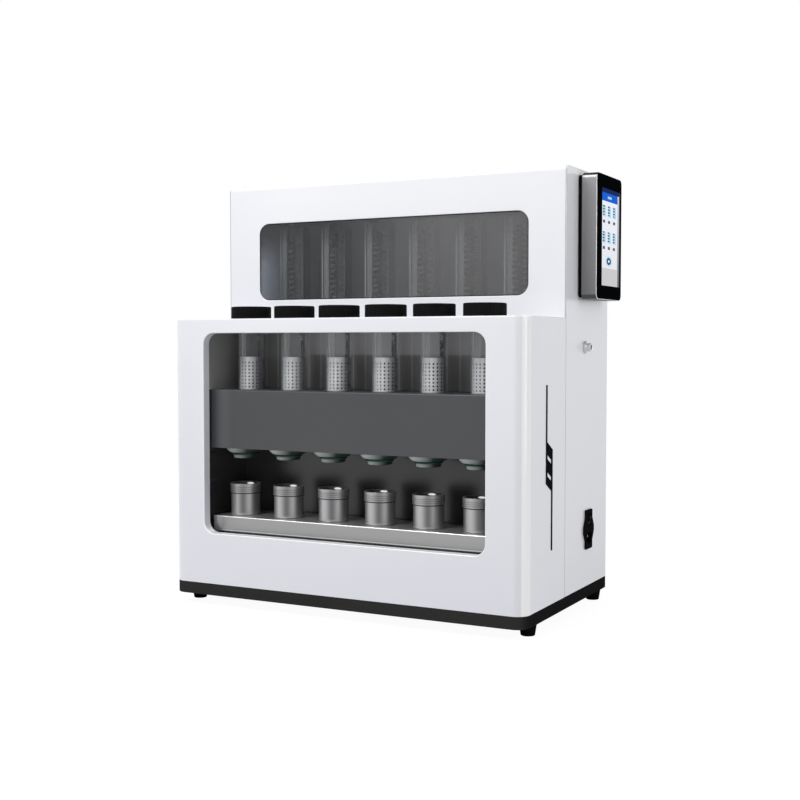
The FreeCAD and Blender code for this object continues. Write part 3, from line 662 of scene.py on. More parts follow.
pale_seal = seal_finish()
green_rubber = moulded("green_rubber", tone(20, 70, 56), tone(16, 58, 48), 0.45, specular=0.3)
foot_rubber = moulded("foot_rubber", tone(18, 18, 19), tone(23, 23, 24), 0.62, specular=0.0)
black_gasket = moulded("black_gasket", tone(12, 12, 13), tone(18, 18, 19), 0.55, specular=0.2)
stripe_film = moulded(
    "stripe_film", tone(20, 20, 23), tone(27, 27, 30), 0.40, 0.00001, specular=0.0
)
manifold_plastic = moulded("manifold_plastic", tone(96, 98, 100), tone(84, 86, 88), 0.45)
mat_silicone = moulded("mat_silicone", tone(178, 84, 44), tone(160, 72, 36), 0.55)
board_lacquer = moulded("board_lacquer", tone(24, 88, 50), tone(18, 74, 42), 0.30)
screen_front = moulded(
    "screen_front", tone(8, 9, 11), tone(11, 12, 14), 0.12, 0.000002, specular=0.0
)
# The last list of each glass holds its painted reflection bands.
tube_glass = clear_glass(
    "tube_glass", GLASS_Y, 0.035, 0.45, 7.0, [(-20, -7, 0.14), (17, 18, 0.14)]
)
condenser_glass = clear_glass(
    "condenser_glass",
    CONDENSER_Y,
    0.03,
    0.35,
    9.0,
    [(-24.5, -23.2, 0.9), (-20, -13, 0.26), (4, 12, 0.09), (13, 14, 0.3)],
)
coil_glass = coil_tube()
riser_glass = riser_tube()
milky_glass = moulded("milky_glass", tone(206, 208, 210), tone(178, 180, 182), 0.12, 0.000005)
pane_glass = smoked_pane()
display_light = display_front()
housing_metal = housing_finish()


# Shapes


def about(middle, half):
    """The reach of half a width to both sides of a place."""
    return (middle - half, middle + half)


def slab(bm, low, high):
    """A block between two corners."""
    verts = bmesh.ops.create_cube(bm, size=1)["verts"]
    bmesh.ops.scale(bm, verts=verts, vec=[b - a for a, b in zip(low, high)])
    bmesh.ops.translate(bm, verts=verts, vec=[(a + b) / 2 for a, b in zip(low, high)])


def lines(bm, axis, test=lambda point: True):
    """The straight edges along an axis whose middle passes a test."""
    found = []
    for edge in bm.edges:
        start, end = (v.co for v in edge.verts)
        across = [abs((end - start)[i]) for i in range(3) if i != axis]
        if max(across) < STRAY and test((start + end) / 2):
            found.append(edge)
    return found


def creases(bm, test):
    """The edges that turn by more than 50 degrees and whose middle passes a test."""
    sharp = math.radians(50)
    folds = [e for e in bm.edges if len(e.link_faces) == 2 and e.calc_face_angle(0) > sharp]
    return [e for e in folds if test((e.verts[0].co + e.verts[1].co) / 2)]


def soften(bm, parts, radius, segments, affect="EDGES"):
    """Round some edges or corners."""
    bmesh.ops.bevel(
        bm,
        geom=parts,
        offset=radius,
        offset_type="OFFSET",
        segments=segments,
        profile=0.5,
        affect=affect,
        material=-1,
        clamp_overlap=True,
    )


def drop(bm, test):
    """Remove the faces whose normal passes a test."""
    bm.normal_update()
    bmesh.ops.delete(bm, geom=[f for f in bm.faces if test(f.normal)], context="FACES")


def of_kind(parts, kind):
    """The corners or edges among some parts."""
    return [part for part in parts if isinstance(part, kind)]


def push(bm, made, shift):
    """Move the corners that an extrusion made."""
    bmesh.ops.translate(bm, verts=of_kind(made, bmesh.types.BMVert), vec=shift)


def prism(corners, shift):
    """A solid between a flat outline and its copy some way off."""
    bm = bmesh.new()
    verts = [bm.verts.new(corner) for corner in corners]
    face = bm.faces.new(verts)
    push(bm, bmesh.ops.extrude_face_region(bm, geom=[face])["geom"], shift)
    if not face.is_valid:
        bm.faces.new(verts)
    return bm


def hollow(bm, up, rim, depth):
    """Sink a block's upper side (up 1) or lower side (up -1) and leave a rim of even width."""
    bm.normal_update()
    side = [f for f in bm.faces if f.normal.z * up > 0.9]
    bmesh.ops.inset_region(bm, faces=side, thickness=rim, use_even_offset=True)
    push(bm, bmesh.ops.extrude_face_region(bm, geom=side)["geom"], (0, 0, -up * depth))
    bmesh.ops.delete(bm, geom=[f for f in side if f.is_valid], context="FACES")


def at_level(faces, axis, level):
    """The faces that lie in a plane across an axis."""
    return [f for f in faces if all(abs(v.co[axis] - level) < NEAR for v in f.verts)]


def open_wall(bm, axis, level, spans, rises, radius=0, segments=8, depth=0, closed=False):
    """Open round-cornered holes in the flat wall that crosses an axis at a level.

    Spans and rises are the holes' reaches along the wall's two directions. With a depth
    each hole gets a return, and a closed hole a floor."""
    u, v = [i for i in range(3) if i != axis]
    middles = {u: [sum(s) / 2 for s in spans], v: [sum(r) / 2 for r in rises]}
    cuts = {u: [c for s in spans for c in s], v: [c for r in rises for c in r]}
    for direction in (u, v):
        for place in cuts[direction] + middles[direction]:
            wall = at_level(bm.faces, axis, level)
            point = [place if i == direction else level for i in range(3)]
            normal = [float(i == direction) for i in range(3)]
            geom = {*wall}
            geom |= {e for f in wall for e in f.edges} | {w for f in wall for w in f.verts}
            bmesh.ops.bisect_plane(bm, geom=list(geom), plane_co=point, plane_no=normal, dist=STRAY)

    def inside(point):
        return any(a - NEAR < point[u] < b + NEAR for a, b in spans) and any(
            a - NEAR < point[v] < b + NEAR for a, b in rises
        )

    holes = [f for f in at_level(bm.faces, axis, level) if inside(f.calc_center_median())]
    bmesh.ops.delete(bm, geom=holes, context="FACES")
    wall = set(at_level(bm.faces, axis, level))

    def spare(edge):
        if len(edge.link_faces) != 2 or not wall.issuperset(edge.link_faces):
            return False
        a, b = (w.co for w in edge.verts)
        for direction in (u, v):
            if abs(a[direction] - b[direction]) < STRAY:
                return all(abs(a[direction] - m) > NEAR for m in middles[direction])
        return False

    bmesh.ops.dissolve_edges(bm, edges=[e for e in bm.edges if spare(e)], use_verts=False)

    def on_hole(point):
        return all(any(abs(point[i] - c) < NEAR for c in cuts[i]) for i in (u, v))

    if radius:
        corners = [
            w
            for w in bm.verts
            if abs(w.co[axis] - level) < NEAR and on_hole(w.co) and inside(w.co)
        ]
        soften(bm, corners, radius, segments, "VERTICES")
    if depth:
        rim = [
            e
            for e in bm.edges
            if e.is_boundary
            and all(abs(w.co[axis] - level) < NEAR and inside(w.co) for w in e.verts)
        ]
        made = bmesh.ops.extrude_edge_only(bm, edges=rim)["geom"]
        push(bm, made, [depth if i == axis else 0 for i in range(3)])
        if closed:
            ends = [e for e in of_kind(made, bmesh.types.BMEdge) if e.is_boundary]
            bmesh.ops.holes_fill(bm, edges=ends, sides=0)


def join_walls(bm, axis, levels, spans, rises, radius=0, segments=8):
    """Open holes right through a block, and line them."""
    for level in levels:
        open_wall(bm, axis, level, spans, rises, radius, segments)
    u, v = [i for i in range(3) if i != axis]
    for span in spans:
        for rise in rises:
            ring = [
                e
                for e in bm.edges
                if e.is_boundary
                and all(
                    span[0] - 0.01 < w.co[u] < span[1] + 0.01
                    and rise[0] - 0.01 < w.co[v] < rise[1] + 0.01
                    for w in e.verts
                )
            ]
            bmesh.ops.bridge_loops(bm, edges=ring)


def turned(outline, steps=48, closed=False):
    """A round shape about the z axis from an outline of (radius, height) points."""
    bm = bmesh.new()
    verts = [bm.verts.new((r, 0, z)) for r, z in outline]
    pairs = list(zip(verts, verts[1:]))
    if closed:
        pairs.append((verts[-1], verts[0]))
    edges = [bm.edges.new(pair) for pair in pairs]
    bmesh.ops.spin(
        bm,
        geom=verts + edges,
        cent=(0, 0, 0),
        axis=(0, 0, 1),
        angle=math.tau,
        steps=steps,
        use_merge=True,
    )
    bmesh.ops.remove_doubles(bm, verts=bm.verts, dist=NEAR)
    return bm


def pipe(outer, inner, low, high, steps):
    """A pipe about the z axis."""
    return turned([(outer, low), (outer, high), (inner, high), (inner, low)], steps, closed=True)


def narrow(vert, share):
    """Move a corner nearer to the z axis."""
    vert.co.x *= share
    vert.co.y *= share


def arc(r, z, radius, start, end, count):
    """Points of (radius, height) round a centre, from one angle to another in degrees."""
    angles = [math.radians(start + (end - start) * i / count) for i in range(count + 1)]
    return [(r + radius * math.cos(a), z + radius * math.sin(a)) for a in angles]


def set_down(whole, unit, *places):
    """Add copies of a shape at several places, each a point or a matrix."""
    mesh = bpy.data.meshes.new("copy")
    for place in places:
        turn = place if isinstance(place, Matrix) else Matrix.Translation(place)
        copy = unit.copy()
        copy.transform(turn)
        copy.to_mesh(mesh)
        copy.free()
        whole.from_mesh(mesh)
    bpy.data.meshes.remove(mesh)
    return whole


def copies(unit, *places):
    """A shape's copies at several places."""
    return set_down(bmesh.new(), unit, *places)


def at_stations(y):
    """A place at each station, at one depth."""
    return [(x, y, 0) for x in STATIONS]


def chamber_holes(bm, level):
    """Open the six round holes that the glass chambers stand in."""
    spans = [about(x, HOLE) for x in STATIONS]
    open_wall(bm, 2, level, spans, [about(GLASS_Y, HOLE)], HOLE - 0.05)


def along_x(x, y, z):
    """Stands a turned shape's axis along x, starting at a point."""
    return Matrix.Translation((x, y, z)) @ Matrix.Rotation(math.pi / 2, 4, "Y")


def along_y(x, y, z):
    """Stands a turned shape's axis along y, starting at a point."""
    return Matrix.Translation((x, y, z)) @ Matrix.Rotation(-math.pi / 2, 4, "X")


def piece(name, bm, finish, slot=None, nodes=(), body="cabinet", wall=0, edge=0, segments=2):
    """Make a shape a finished piece that moves with a body and stands for CAD nodes.

    A shape with a wall is an open skin, which keeps the side that its faces look to."""
    if not wall:
        bmesh.ops.recalc_face_normals(bm, faces=bm.faces)
    bm.transform(PLACE)
    mesh = bpy.data.meshes.new(name)
    bm.to_mesh(mesh)
    bm.free()
    mesh.shade_smooth()
    mesh.materials.append(finish)
    made = bpy.data.objects.new(name, mesh)
    bpy.context.scene.collection.objects.link(made)
    if wall:
        solid = made.modifiers.new("wall", "SOLIDIFY")
        solid.thickness = wall / 1000
        solid.offset = -1
        solid.use_even_offset = True
    if edge:
        bevel = made.modifiers.new("edge", "BEVEL")
        bevel.width = edge / 1000
        bevel.segments = segments
        bevel.limit_method = "ANGLE"
        bevel.angle_limit = math.radians(40)
    else:
        mesh.set_sharp_from_angle(angle=math.radians(42))
    weigh = made.modifiers.new("weigh", "WEIGHTED_NORMAL")
    weigh.keep_sharp = True
    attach(made, body)
    if nodes:
        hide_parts(*nodes)
    return made


# Cabinet


def base_tray():
    """The black tray under the cabinet, hollow from above."""
    bm = bmesh.new()
    slab(bm, (-HALF, 0, BASE_LOW), (HALF, DEPTH, BASE_TOP))
    soften(bm, lines(bm, 2, lambda p: p.y < 1), CORNER, 14)
    floor = 3
    hollow(bm, 1, 8, BASE_TOP - BASE_LOW - floor)
    piece("base_tray_body", bm, base_paint, "base_black", ["base_tray"], edge=0.8)


def feet():
    """Four tapered feet."""
    top = BASE_LOW
    round_foot = arc(8.9, 1.7, 1.7, -90, 0, 5)
    foot = turned([(0, 0), (8.9, 0), *round_foot, (12.9, top - 0.8), (13, top), (0, top)], 40)
    places = [(x, y, 0) for y in (50, DEPTH - 21) for x in (15 - HALF, HALF - 15)]
    piece("rubber_feet", copies(foot, *places), foot_rubber, "foot_rubber", ["feet"])


def front_shell():
    """The white front: face, cheeks and ledge, with the window's deep return."""
    bm = bmesh.new()
    slab(bm, (-HALF, 0, BASE_TOP), (HALF, TOWER_FRONT, LEDGE))
    drop(bm, lambda n: n.y > 0.9 or n.z < -0.9)
    soften(bm, lines(bm, 2, lambda p: p.y < 1), CORNER, 16)
    soften(bm, creases(bm, lambda p: p.z > LEDGE - 0.1), 2, 4)
    chamber_holes(bm, LEDGE)
    rises = [(WINDOW_LOW, WINDOW_HIGH)]
    open_wall(bm, 1, 0, [about(0, WINDOW)], rises, WINDOW_CORNER, 10, RETURN)

    def on_lip(p):
        return p.y < 0.01 and abs(p.x) < WINDOW + 1 and WINDOW_LOW - 1 < p.z < WINDOW_HIGH + 1

    soften(bm, creases(bm, on_lip), 1.6, 4)
    piece("front_cover", bm, shell_paint, "shell_white", ["front_shell"], wall=SHEET, edge=0.3)


def side_panels():
    """The two side covers behind the seam, the right one open for the power inlet."""
    for side, name in ((-1, "left"), (1, "right")):
        bm = bmesh.new()
        xs = sorted((side * INSIDE, side * HALF))
        front = TOWER_FRONT + SEAM
        slab(bm, (xs[0], front, BASE_TOP), (xs[1], DEPTH, TOWER_TOP))
        soften(bm, lines(bm, 0, lambda p: p.y < front + 1 and p.z > TOWER_TOP - 1), TOWER_EDGE, 8)
        if side > 0:
            join_walls(bm, 0, xs, [about(INLET_Y, INLET_HALF)], [about(INLET_Z, INLET_RISE)])
        piece(
            f"side_cover_{name}", bm, shell_paint, "shell_white", [f"side_panel_{name}"], edge=0.5
        )


def tower_shell():
    """The tower's front and roof, and the gasket round its window."""
    bm = bmesh.new()
    half = INSIDE - SEAM
    low = LEDGE - 24
    slab(bm, (-half, TOWER_FRONT, low), (half, DEPTH - SHEET, TOWER_TOP))
    drop(bm, lambda n: abs(n.x) > 0.9 or n.y > 0.9 or n.z < -0.9)
    soften(bm, lines(bm, 0, lambda p: p.y < TOWER_FRONT + 1 and p.z > low + 1), TOWER_EDGE, 10)
    rises = [(PANE_LOW, PANE_HIGH)]
    open_wall(bm, 1, TOWER_FRONT, [about(0, WINDOW)], rises, PANE_CORNER, 10, SHEET - 0.05)
    lip = creases(bm, lambda p: p.y < TOWER_FRONT + 0.01 and abs(p.x) < WINDOW + 1)
    soften(bm, [e for e in lip if e.calc_length() < 2 * half - 1], 1.2, 4)
    piece("tower_cover", bm, shell_paint, "shell_white", ["tower_shell"], wall=SHEET, edge=0.5)
    ring = bmesh.new()
    levels = (TOWER_FRONT + 0.7, TOWER_FRONT + SHEET)
    slab(ring, (-WINDOW, levels[0], PANE_LOW), (WINDOW, levels[1], PANE_HIGH))
    soften(ring, lines(ring, 1), PANE_CORNER, 10)
    width = 1.3
    rises = [(PANE_LOW + width, PANE_HIGH - width)]
    join_walls(ring, 1, levels, [about(0, WINDOW - width)], rises, PANE_CORNER - width, 10)
    piece("window_gasket", ring, black_gasket)


def rear_cover():
    """The rear cover with hooded louvres and six screw heads."""
    bm = bmesh.new()
    half = INSIDE - SEAM
    top = TOWER_TOP - SHEET - SEAM
    slab(bm, (-half, DEPTH - SHEET, BASE_TOP), (half, DEPTH, top))
    spans = [about(x, LOUVRE_HALF) for x in LOUVRES]
    rises = [(BASE_TOP + 60 + 14 * i, BASE_TOP + 64 + 14 * i) for i in range(7)]
    join_walls(bm, 1, (DEPTH - SHEET, DEPTH), spans, rises)
    piece("rear_cover_sheet", bm, shell_paint, "shell_white", ["rear_cover"], edge=0.4)
    hood = bmesh.new()
    reach = LOUVRE_HALF + 1
    slab(hood, (-reach, 0, 0), (reach, 3, 6.5))
    drop(hood, lambda n: n.z < -0.9 or n.y < -0.9)
    soften(hood, lines(hood, 0, lambda p: p.z > 6 and p.y > 2), 2.8, 5)
    soften(hood, creases(hood, lambda p: abs(p.x) > LOUVRE_HALF), 1.0, 2)
    places = [(x, DEPTH - 0.05, low) for x in LOUVRES for low, _ in rises]
    hoods = copies(hood, *places)
    piece("louvre_hoods", hoods, shell_paint, "shell_white", wall=0.8)
    head = turned([(0, 0), (4.6, 0), (4.6, 0.5), (3.6, 0.7), (0, 0.7)], 24)
    boss = bmesh.new()
    base = 3.5 / math.cos(math.pi / 6)
    bmesh.ops.create_cone(boss, cap_ends=True, segments=6, radius1=base, radius2=3.6, depth=1.3)
    set_down(head, boss, (0, 0, 1.3))
    low = BASE_TOP + 12
    high = TOWER_TOP - 24
    spots = [(x, z) for x in (12 - HALF, HALF - 12) for z in (low, (low + high) / 2, high)]
    screws = copies(head, *[along_y(x, DEPTH, z) for x, z in spots])
    piece("cover_screw_heads", screws, plated_metal, "fitting_metal", ["cover_screws"])


# Extraction chamber


def beam():
    """The dark beam across the chamber."""
    bm = bmesh.new()
    slab(bm, (-CHAMBER_HALF, BEAM_FRONT, BEAM_LOW), (CHAMBER_HALF, CHAMBER_BACK, BEAM_TOP))
    drop(bm, lambda n: abs(n.x) > 0.9 or n.y > 0.9 or n.z < -0.9)
    soften(bm, lines(bm, 0, lambda p: p.y < BEAM_FRONT + 1 and p.z > BEAM_TOP - 1), 2.2, 5)
    chamber_holes(bm, BEAM_TOP)
    piece("beam_sheet", bm, beam_paint, "chamber_black", ["beam_cover"], wall=SHEET, edge=0.3)


def seals():
    """A pale flange, a green gasket and a pale plug over each cup."""
    spots = at_stations(CUP_Y)
    flange = turned(
        [
            (0, FLANGE_Z),
            (24.5, FLANGE_Z),
            (25.5, FLANGE_Z + 0.4),
            (29.2, FLANGE_Z + 3.6),
            *arc(28.8, FLANGE_Z + 4.8, 1.2, -30, 0, 3),
            (30, BEAM_LOW),
            (0, BEAM_LOW),
        ]
    )
    piece("seal_flange_rings", copies(flange, *spots), pale_seal, "seal_pale", ["seal_flanges"])
    bulge = arc(20, GASKET_Z + 1.9, 1.9, -90, 90, 8)
    gasket = turned([(0, GASKET_Z), (20, GASKET_Z), *bulge, (0, FLANGE_Z)])
    piece("seal_gasket_rings", copies(gasket, *spots), green_rubber, "seal_green", ["seal_gaskets"])
    plug = turned(
        [
            (0, PLUG_Z),
            (10, PLUG_Z + 0.1),
            (15.5, PLUG_Z + 0.9),
            *arc(17, PLUG_Z + 3, 2, -45, 0, 3),
            (19, GASKET_Z),
            (0, GASKET_Z),
        ]
    )
    piece("seal_plug_lenses", copies(plug, *spots), pale_seal, "seal_pale", ["seal_plugs"])


def glass_chambers():
    """The extraction tubes, the risers behind them and the short arms between."""
    half_wall = GLASS_WALL / 2
    middle = GLASS_RADIUS - half_wall
    outline = [
        *arc(middle, GLASS_TOP - half_wall, half_wall, 0, 180, 6),
        *arc(middle, BLOCK_TOP + half_wall, half_wall, 180, 360, 6),
    ]
    tube = turned(outline, 56, closed=True)
    tubes = copies(tube, *at_stations(GLASS_Y))
    piece("extraction_tubes", tubes, tube_glass, "clear_glass", ["glass_chambers"])
    riser = pipe(RISER_RADIUS, RISER_RADIUS - 0.9, BEAM_TOP, LEDGE - SHEET, 24)
    arm = pipe(2.4, 1.6, 0, 4.6, 20)
    bead = turned(arc(2.9, 0, 0.7, 0, 315, 7), 24, closed=True)
    risers = copies(riser, *at_stations(RISER_Y))
    piece("vapour_risers", risers, riser_glass, "clear_glass", ["vapour_tubes"])
    arm_z = 428
    joint = copies(arm, along_y(0, GLASS_Y + GLASS_RADIUS - 0.6, arm_z))
    set_down(joint, bead, along_y(0, GLASS_Y + GLASS_RADIUS + 0.6, arm_z))
    piece("vapour_arms", copies(joint, *at_stations(0)), milky_glass, "clear_glass")


def basket_sheet():
    """Sheet with straight rows of round holes, rolled into a drum."""
    columns, rows, pitch, first, hole = 18, 14, 5.6, 388.1, 1.55
    cell = math.tau * BASKET_RADIUS / columns
    low = first + pitch / 2 - rows * pitch
    bm = bmesh.new()
    bmesh.ops.create_grid(bm, x_segments=4 * columns, y_segments=4 * rows, size=1)
    inner = []
    for vert in bm.verts:
        column = round((vert.co.x + 1) * 2 * columns)
        row = round((vert.co.y + 1) * 2 * rows)
        vert.co = (column * cell / 4, 0, low + row * pitch / 4)
        if column % 4 and row % 4:
            inner.append(vert)
    bmesh.ops.dissolve_verts(bm, verts=inner)
    cells = bm.faces[:]
    bmesh.ops.inset_individual(bm, faces=cells, thickness=0.8, use_even_offset=True)
    for face in cells:
        middle = face.calc_center_bounds()
        for vert in face.verts:
            vert.co = middle + (vert.co - middle).normalized() * hole
    bmesh.ops.delete(bm, geom=cells, context="FACES")
    for level, steps in (
        (low + rows * pitch, (BASKET_TOP - 0.8, BASKET_TOP)),
        (low, (BASKET_LOW + 1.5,)),
    ):
        rim = [e for e in bm.edges if all(abs(v.co.z - level) < 0.01 for v in e.verts)]
        for step in steps:
            made = bmesh.ops.extrude_edge_only(bm, edges=rim)["geom"]
            for vert in of_kind(made, bmesh.types.BMVert):
                vert.co.z = step
            rim = of_kind(made, bmesh.types.BMEdge)
    for vert in bm.verts:
        angle = vert.co.x / BASKET_RADIUS + math.radians(2.0)
        vert.co.x = BASKET_RADIUS * math.cos(angle)
        vert.co.y = BASKET_RADIUS * math.sin(angle)
    bmesh.ops.remove_doubles(bm, verts=bm.verts, dist=NEAR)
    return bm


def baskets():
    """A drilled drum, a floor and a bail for each basket."""
    sheet = basket_sheet()
    base = turned(
        [
            (0, BASKET_LOW),
            (BASKET_RADIUS - 1.2, BASKET_LOW),
            *arc(BASKET_RADIUS - 1, BASKET_LOW + 1, 1, -90, 0, 3),
            (BASKET_RADIUS, BASKET_LOW + 1.6),
            (BASKET_RADIUS - 0.8, BASKET_LOW + 1.6),
            (BASKET_RADIUS - 0.8, BASKET_LOW + 0.8),
            (0, BASKET_LOW + 0.8),
        ],
        40,
    )
    bail = bmesh.new()
    reach = BASKET_RADIUS - 0.9
    slab(bail, (-reach, -2, BASKET_TOP - 8), (reach, 2, BAIL_TOP))
    drop(bail, lambda n: abs(n.y) > 0.9 or n.z < -0.9)
    soften(bail, lines(bail, 1, lambda p: p.z > BAIL_TOP - 1), 6, 6)
    for number, x in enumerate(STATIONS, 1):
        body = f"basket_{number}"
        place = (x, GLASS_Y, 0)
        looks = (basket_steel, "basket_steel")
        drum = piece(f"basket_drum_{number}", copies(sheet, place), *looks, [body], body, wall=0.7)
        drum.data.materials.append(basket_bore)
        drum.modifiers["wall"].material_offset = 1
        piece(f"basket_floor_{number}", copies(base, place), *looks, body=body)
        piece(f"basket_bail_{number}", copies(bail, place), *looks, body=body, wall=1.1)


def caps():
    """The screw caps, knurled round their rims."""
    steps, knurl, inside = 240, 0.9, 15.9
    outline = [
        (0, CAP_HEIGHT - 1.3),
        (25.5, CAP_HEIGHT - 1.3),
        *arc(26.5, CAP_HEIGHT - 0.9, 0.9, 200, 90, 3),
        *arc(CAP_RADIUS - 2.2, CAP_HEIGHT - 2.2, 2.2, 90, 0, 5),
        (CAP_RADIUS, 2.0),
        *arc(CAP_RADIUS - 1.2, 1.2, 1.2, 0, -90, 3),
        (GLASS_RADIUS + 1.2, 0),
        (GLASS_RADIUS + 0.3, 0.9),
        (GLASS_RADIUS + 0.3, inside),
        (0, inside),
    ]
    cap = turned(outline, steps)
    for vert in cap.verts:
        reach = math.hypot(vert.co.x, vert.co.y)
        turn = math.atan2(vert.co.y, vert.co.x) / math.tau * steps
        if reach > CAP_RADIUS - knurl and round(turn) % 4 < 2:
            narrow(vert, 1 - knurl / CAP_RADIUS)
    for number, x in enumerate(STATIONS, 1):
        bm = copies(cap, (x, GLASS_Y, CAP_LOW))
        name = f"cap_{number}"
        piece(f"screw_cap_{number}", bm, cap_plastic, "cap_black", [name], name)


def cups():
    """The cups with their grooved collars, and insides with painted shade."""
    low = PLATE_TOP
    bore = 22.9
    grooves = []
    for z in (COLLAR_LOW + 3.5, COLLAR_LOW + 6.5, COLLAR_LOW + 9.5):
        grooves += [(24.6, z - 0.5), (24.2, z - 0.2), (24.2, z + 0.2), (24.6, z + 0.5)]
    outline = [
        (0, low + 0.6),
        (17, low + 0.6),
        (18.4, low),
        (21.4, low),
        *arc(21.4, low + 2, 2, -90, 0, 5),
        (23.4, COLLAR_LOW - 0.1),
        *arc(24.1, COLLAR_LOW + 0.8, 0.5, -90, 0, 3),
        *grooves,
        *arc(24.1, CUP_TOP - 0.5, 0.5, 0, 90, 3),
        *arc(bore, CUP_TOP - 0.4, 0.4, 90, 180, 3),
        (22.5, low + 4),
        *arc(20, low + 4, 2.5, 0, -90, 4),
        (0, low + 1.5),
    ]
    cup = turned(outline, 72)
    for number, x in enumerate(STATIONS, 1):
        bm = copies(cup, (x, CUP_Y, 0))
        for face in bm.faces:
            reach = face.calc_center_median() - Vector((x, CUP_Y, 0))
            face.material_index = int(math.hypot(reach.x, reach.y) < bore and reach.z > low + 1)
        name = f"cup_{number}"
        made = piece(f"solvent_cup_{number}", bm, cup_steel, "cup_steel", [name], name)
        made.data.materials.append(cup_bore)


def hot_plate():
    """The hot plate, hollow from below."""
    bm = bmesh.new()
    slab(bm, (-PLATE_HALF, PLATE_FRONT, WINDOW_LOW), (PLATE_HALF, PLATE_BACK, PLATE_TOP))
    hollow(bm, -1, 2, 22)
    piece(
        "hot_plate_body",
        bm,
        plate_metal,
        "plate_grey",
        ["hot_plate"],
        "heated_lift",
        edge=1.0,
        segments=3,
    )


# Condensers


def condensers():
    """A glass jacket, a wound coil and a stem for each condenser."""
    shoulder = CONDENSER_TOP - 12
    outer = [
        (CONDENSER_RADIUS, CONDENSER_LOW),
        (CONDENSER_RADIUS, shoulder - 2),
        *arc(CONDENSER_RADIUS - 10, shoulder, 10, 5, 75, 7),
        (11, CONDENSER_TOP - 1.2),
        (9, CONDENSER_TOP - 0.3),
        (0, CONDENSER_TOP - 0.1),
    ]
    jacket = turned(outer, 56)
    spots = at_stations(CONDENSER_Y)
    piece(
        "condenser_shells",
        copies(jacket, *spots),
        condenser_glass,
        "clear_glass",
        ["condenser_jackets"],
        wall=1.8,
    )
    coil = bmesh.new()
    tube = bmesh.ops.create_circle(coil, cap_ends=False, segments=10, radius=2.7)["verts"]
    bmesh.ops.rotate(coil, verts=tube, cent=(0, 0, 0), matrix=Matrix.Rotation(math.pi / 2, 3, "X"))
    bmesh.ops.translate(coil, verts=tube, vec=(9.8, 0, CONDENSER_LOW + 4))
    turns, steps, pitch = 13, 24, 8.9
    bmesh.ops.spin(
        coil,
        geom=coil.verts[:] + coil.edges[:],
        cent=(0, 0, 0),
        axis=(0, 0, 1),
        dvec=(0, 0, pitch / steps),
        angle=math.tau * turns,
        steps=turns * steps,
    )
    set_down(coil, pipe(4.4, 3.4, CONDENSER_LOW, CONDENSER_TOP - 16.1, 24), (0, 0, 0))
    piece("condenser_coils", copies(coil, *spots), coil_glass, "clear_glass", ["condenser_cores"])


# Fittings on the sides and the rear


def rounded_plate(low_x, high_x, inset, radius, segments=8):
    """A plate of the screen's outline, smaller by an inset."""
    half = SCREEN_WIDTH / 2 - inset
    bm = bmesh.new()
    slab(
        bm,
        (low_x, SCREEN_Y - half, SCREEN_LOW + inset),
        (high_x, SCREEN_Y + half, SCREEN_LOW + SCREEN_HEIGHT - inset),
    )
    soften(bm, lines(bm, 0), radius, segments)
    return bm


def touch_screen():
    """The screen's mount, case, pane and lit display."""
    piece(
        "screen_mount",
        rounded_plate(HALF, HOUSING_X, 3, 6),
        fitting_plastic,
        "fitting_black",
        ["screen_bracket"],
        edge=1.0,
    )
    piece(
        "screen_case",
        rounded_plate(HOUSING_X, SCREEN_X - 1.8, 0, 9, 10),
        housing_metal,
        "screen_grey",
        ["screen_housing"],
        edge=1.2,
        segments=4,
    )
    piece(
        "screen_pane",
        rounded_plate(SCREEN_X - 1.8, SCREEN_X - 0.3, 0.6, 8.4, 10),
        screen_front,
        "screen_black",
        ["screen_glass"],
        edge=0.8,
        segments=3,
    )
    lit = bmesh.new()
    slab(
        lit,
        (SCREEN_X - 0.4, DISPLAY_Y, DISPLAY_TOP - DISPLAY_HEIGHT),
        (SCREEN_X - 0.15, DISPLAY_Y + DISPLAY_WIDTH, DISPLAY_TOP),
    )
    piece("screen_display", lit, display_light, "screen_black")


def hexagon(width, height, bore):
    """A six-sided nut about the z axis with a round bore and turned corners."""
    reach = width / 2 / math.cos(math.pi / 6)
    bm = pipe(reach, bore, 0, height, 48)
    for vert in bm.verts:
        if math.hypot(vert.co.x, vert.co.y) > bore + 0.5:
            angle = math.atan2(vert.co.y, vert.co.x) % (math.pi / 3) - math.pi / 6
            narrow(vert, (width / 2) / math.cos(angle) / reach)
    return bm


def side_fittings():
    """The spigot with its nut, and the two hose ends at the rear."""
    start = INSIDE - 14
    tip = HALF + 11 - start
    stub = turned(
        [
            (4, 0),
            (7, 0),
            (7, 19.5),
            (6.5, 19.8),
            (6.5, tip - 0.8),
            *arc(5.7, tip - 0.8, 0.8, 0, 90, 3),
            (4.6, tip),
            (4, tip - 0.6),
        ],
        40,
        closed=True,
    )
    piece(
        "spigot_stub",
        copies(stub, along_x(start, SPIGOT_Y, SPIGOT_Z)),
        plated_metal,
        "fitting_metal",
        ["vent_spigot"],
    )
    piece(
        "spigot_hex_nut",
        copies(hexagon(17, 4, 7.05), along_x(HALF, SPIGOT_Y, SPIGOT_Z)),
        plated_metal,
        "fitting_metal",
        ["spigot_nut"],
        edge=0.4,
    )
    ridges = []
    for i in range(4):
        z = 6.5 + 5.4 * i
        ridges += [(4.7, z), (5.5, z + 0.4), (5.5, z + 0.9), (4.7, z + 5.2)]
    end = 28
    barb = turned(
        [(3.5, -13.5), (5.5, -13.5), (5.5, 5), *ridges, (4.5, end - 0.4), (4.1, end), (3.5, end)],
        36,
        closed=True,
    )
    set_down(barb, hexagon(16, 4, 5.4), (0, 0, 0))
    spots = [along_y(x, DEPTH, HOSE_Z) for x in HOSES]
    piece("water_hose_ends", copies(barb, *spots), plated_metal, "fitting_metal", ["hose_barbs"])


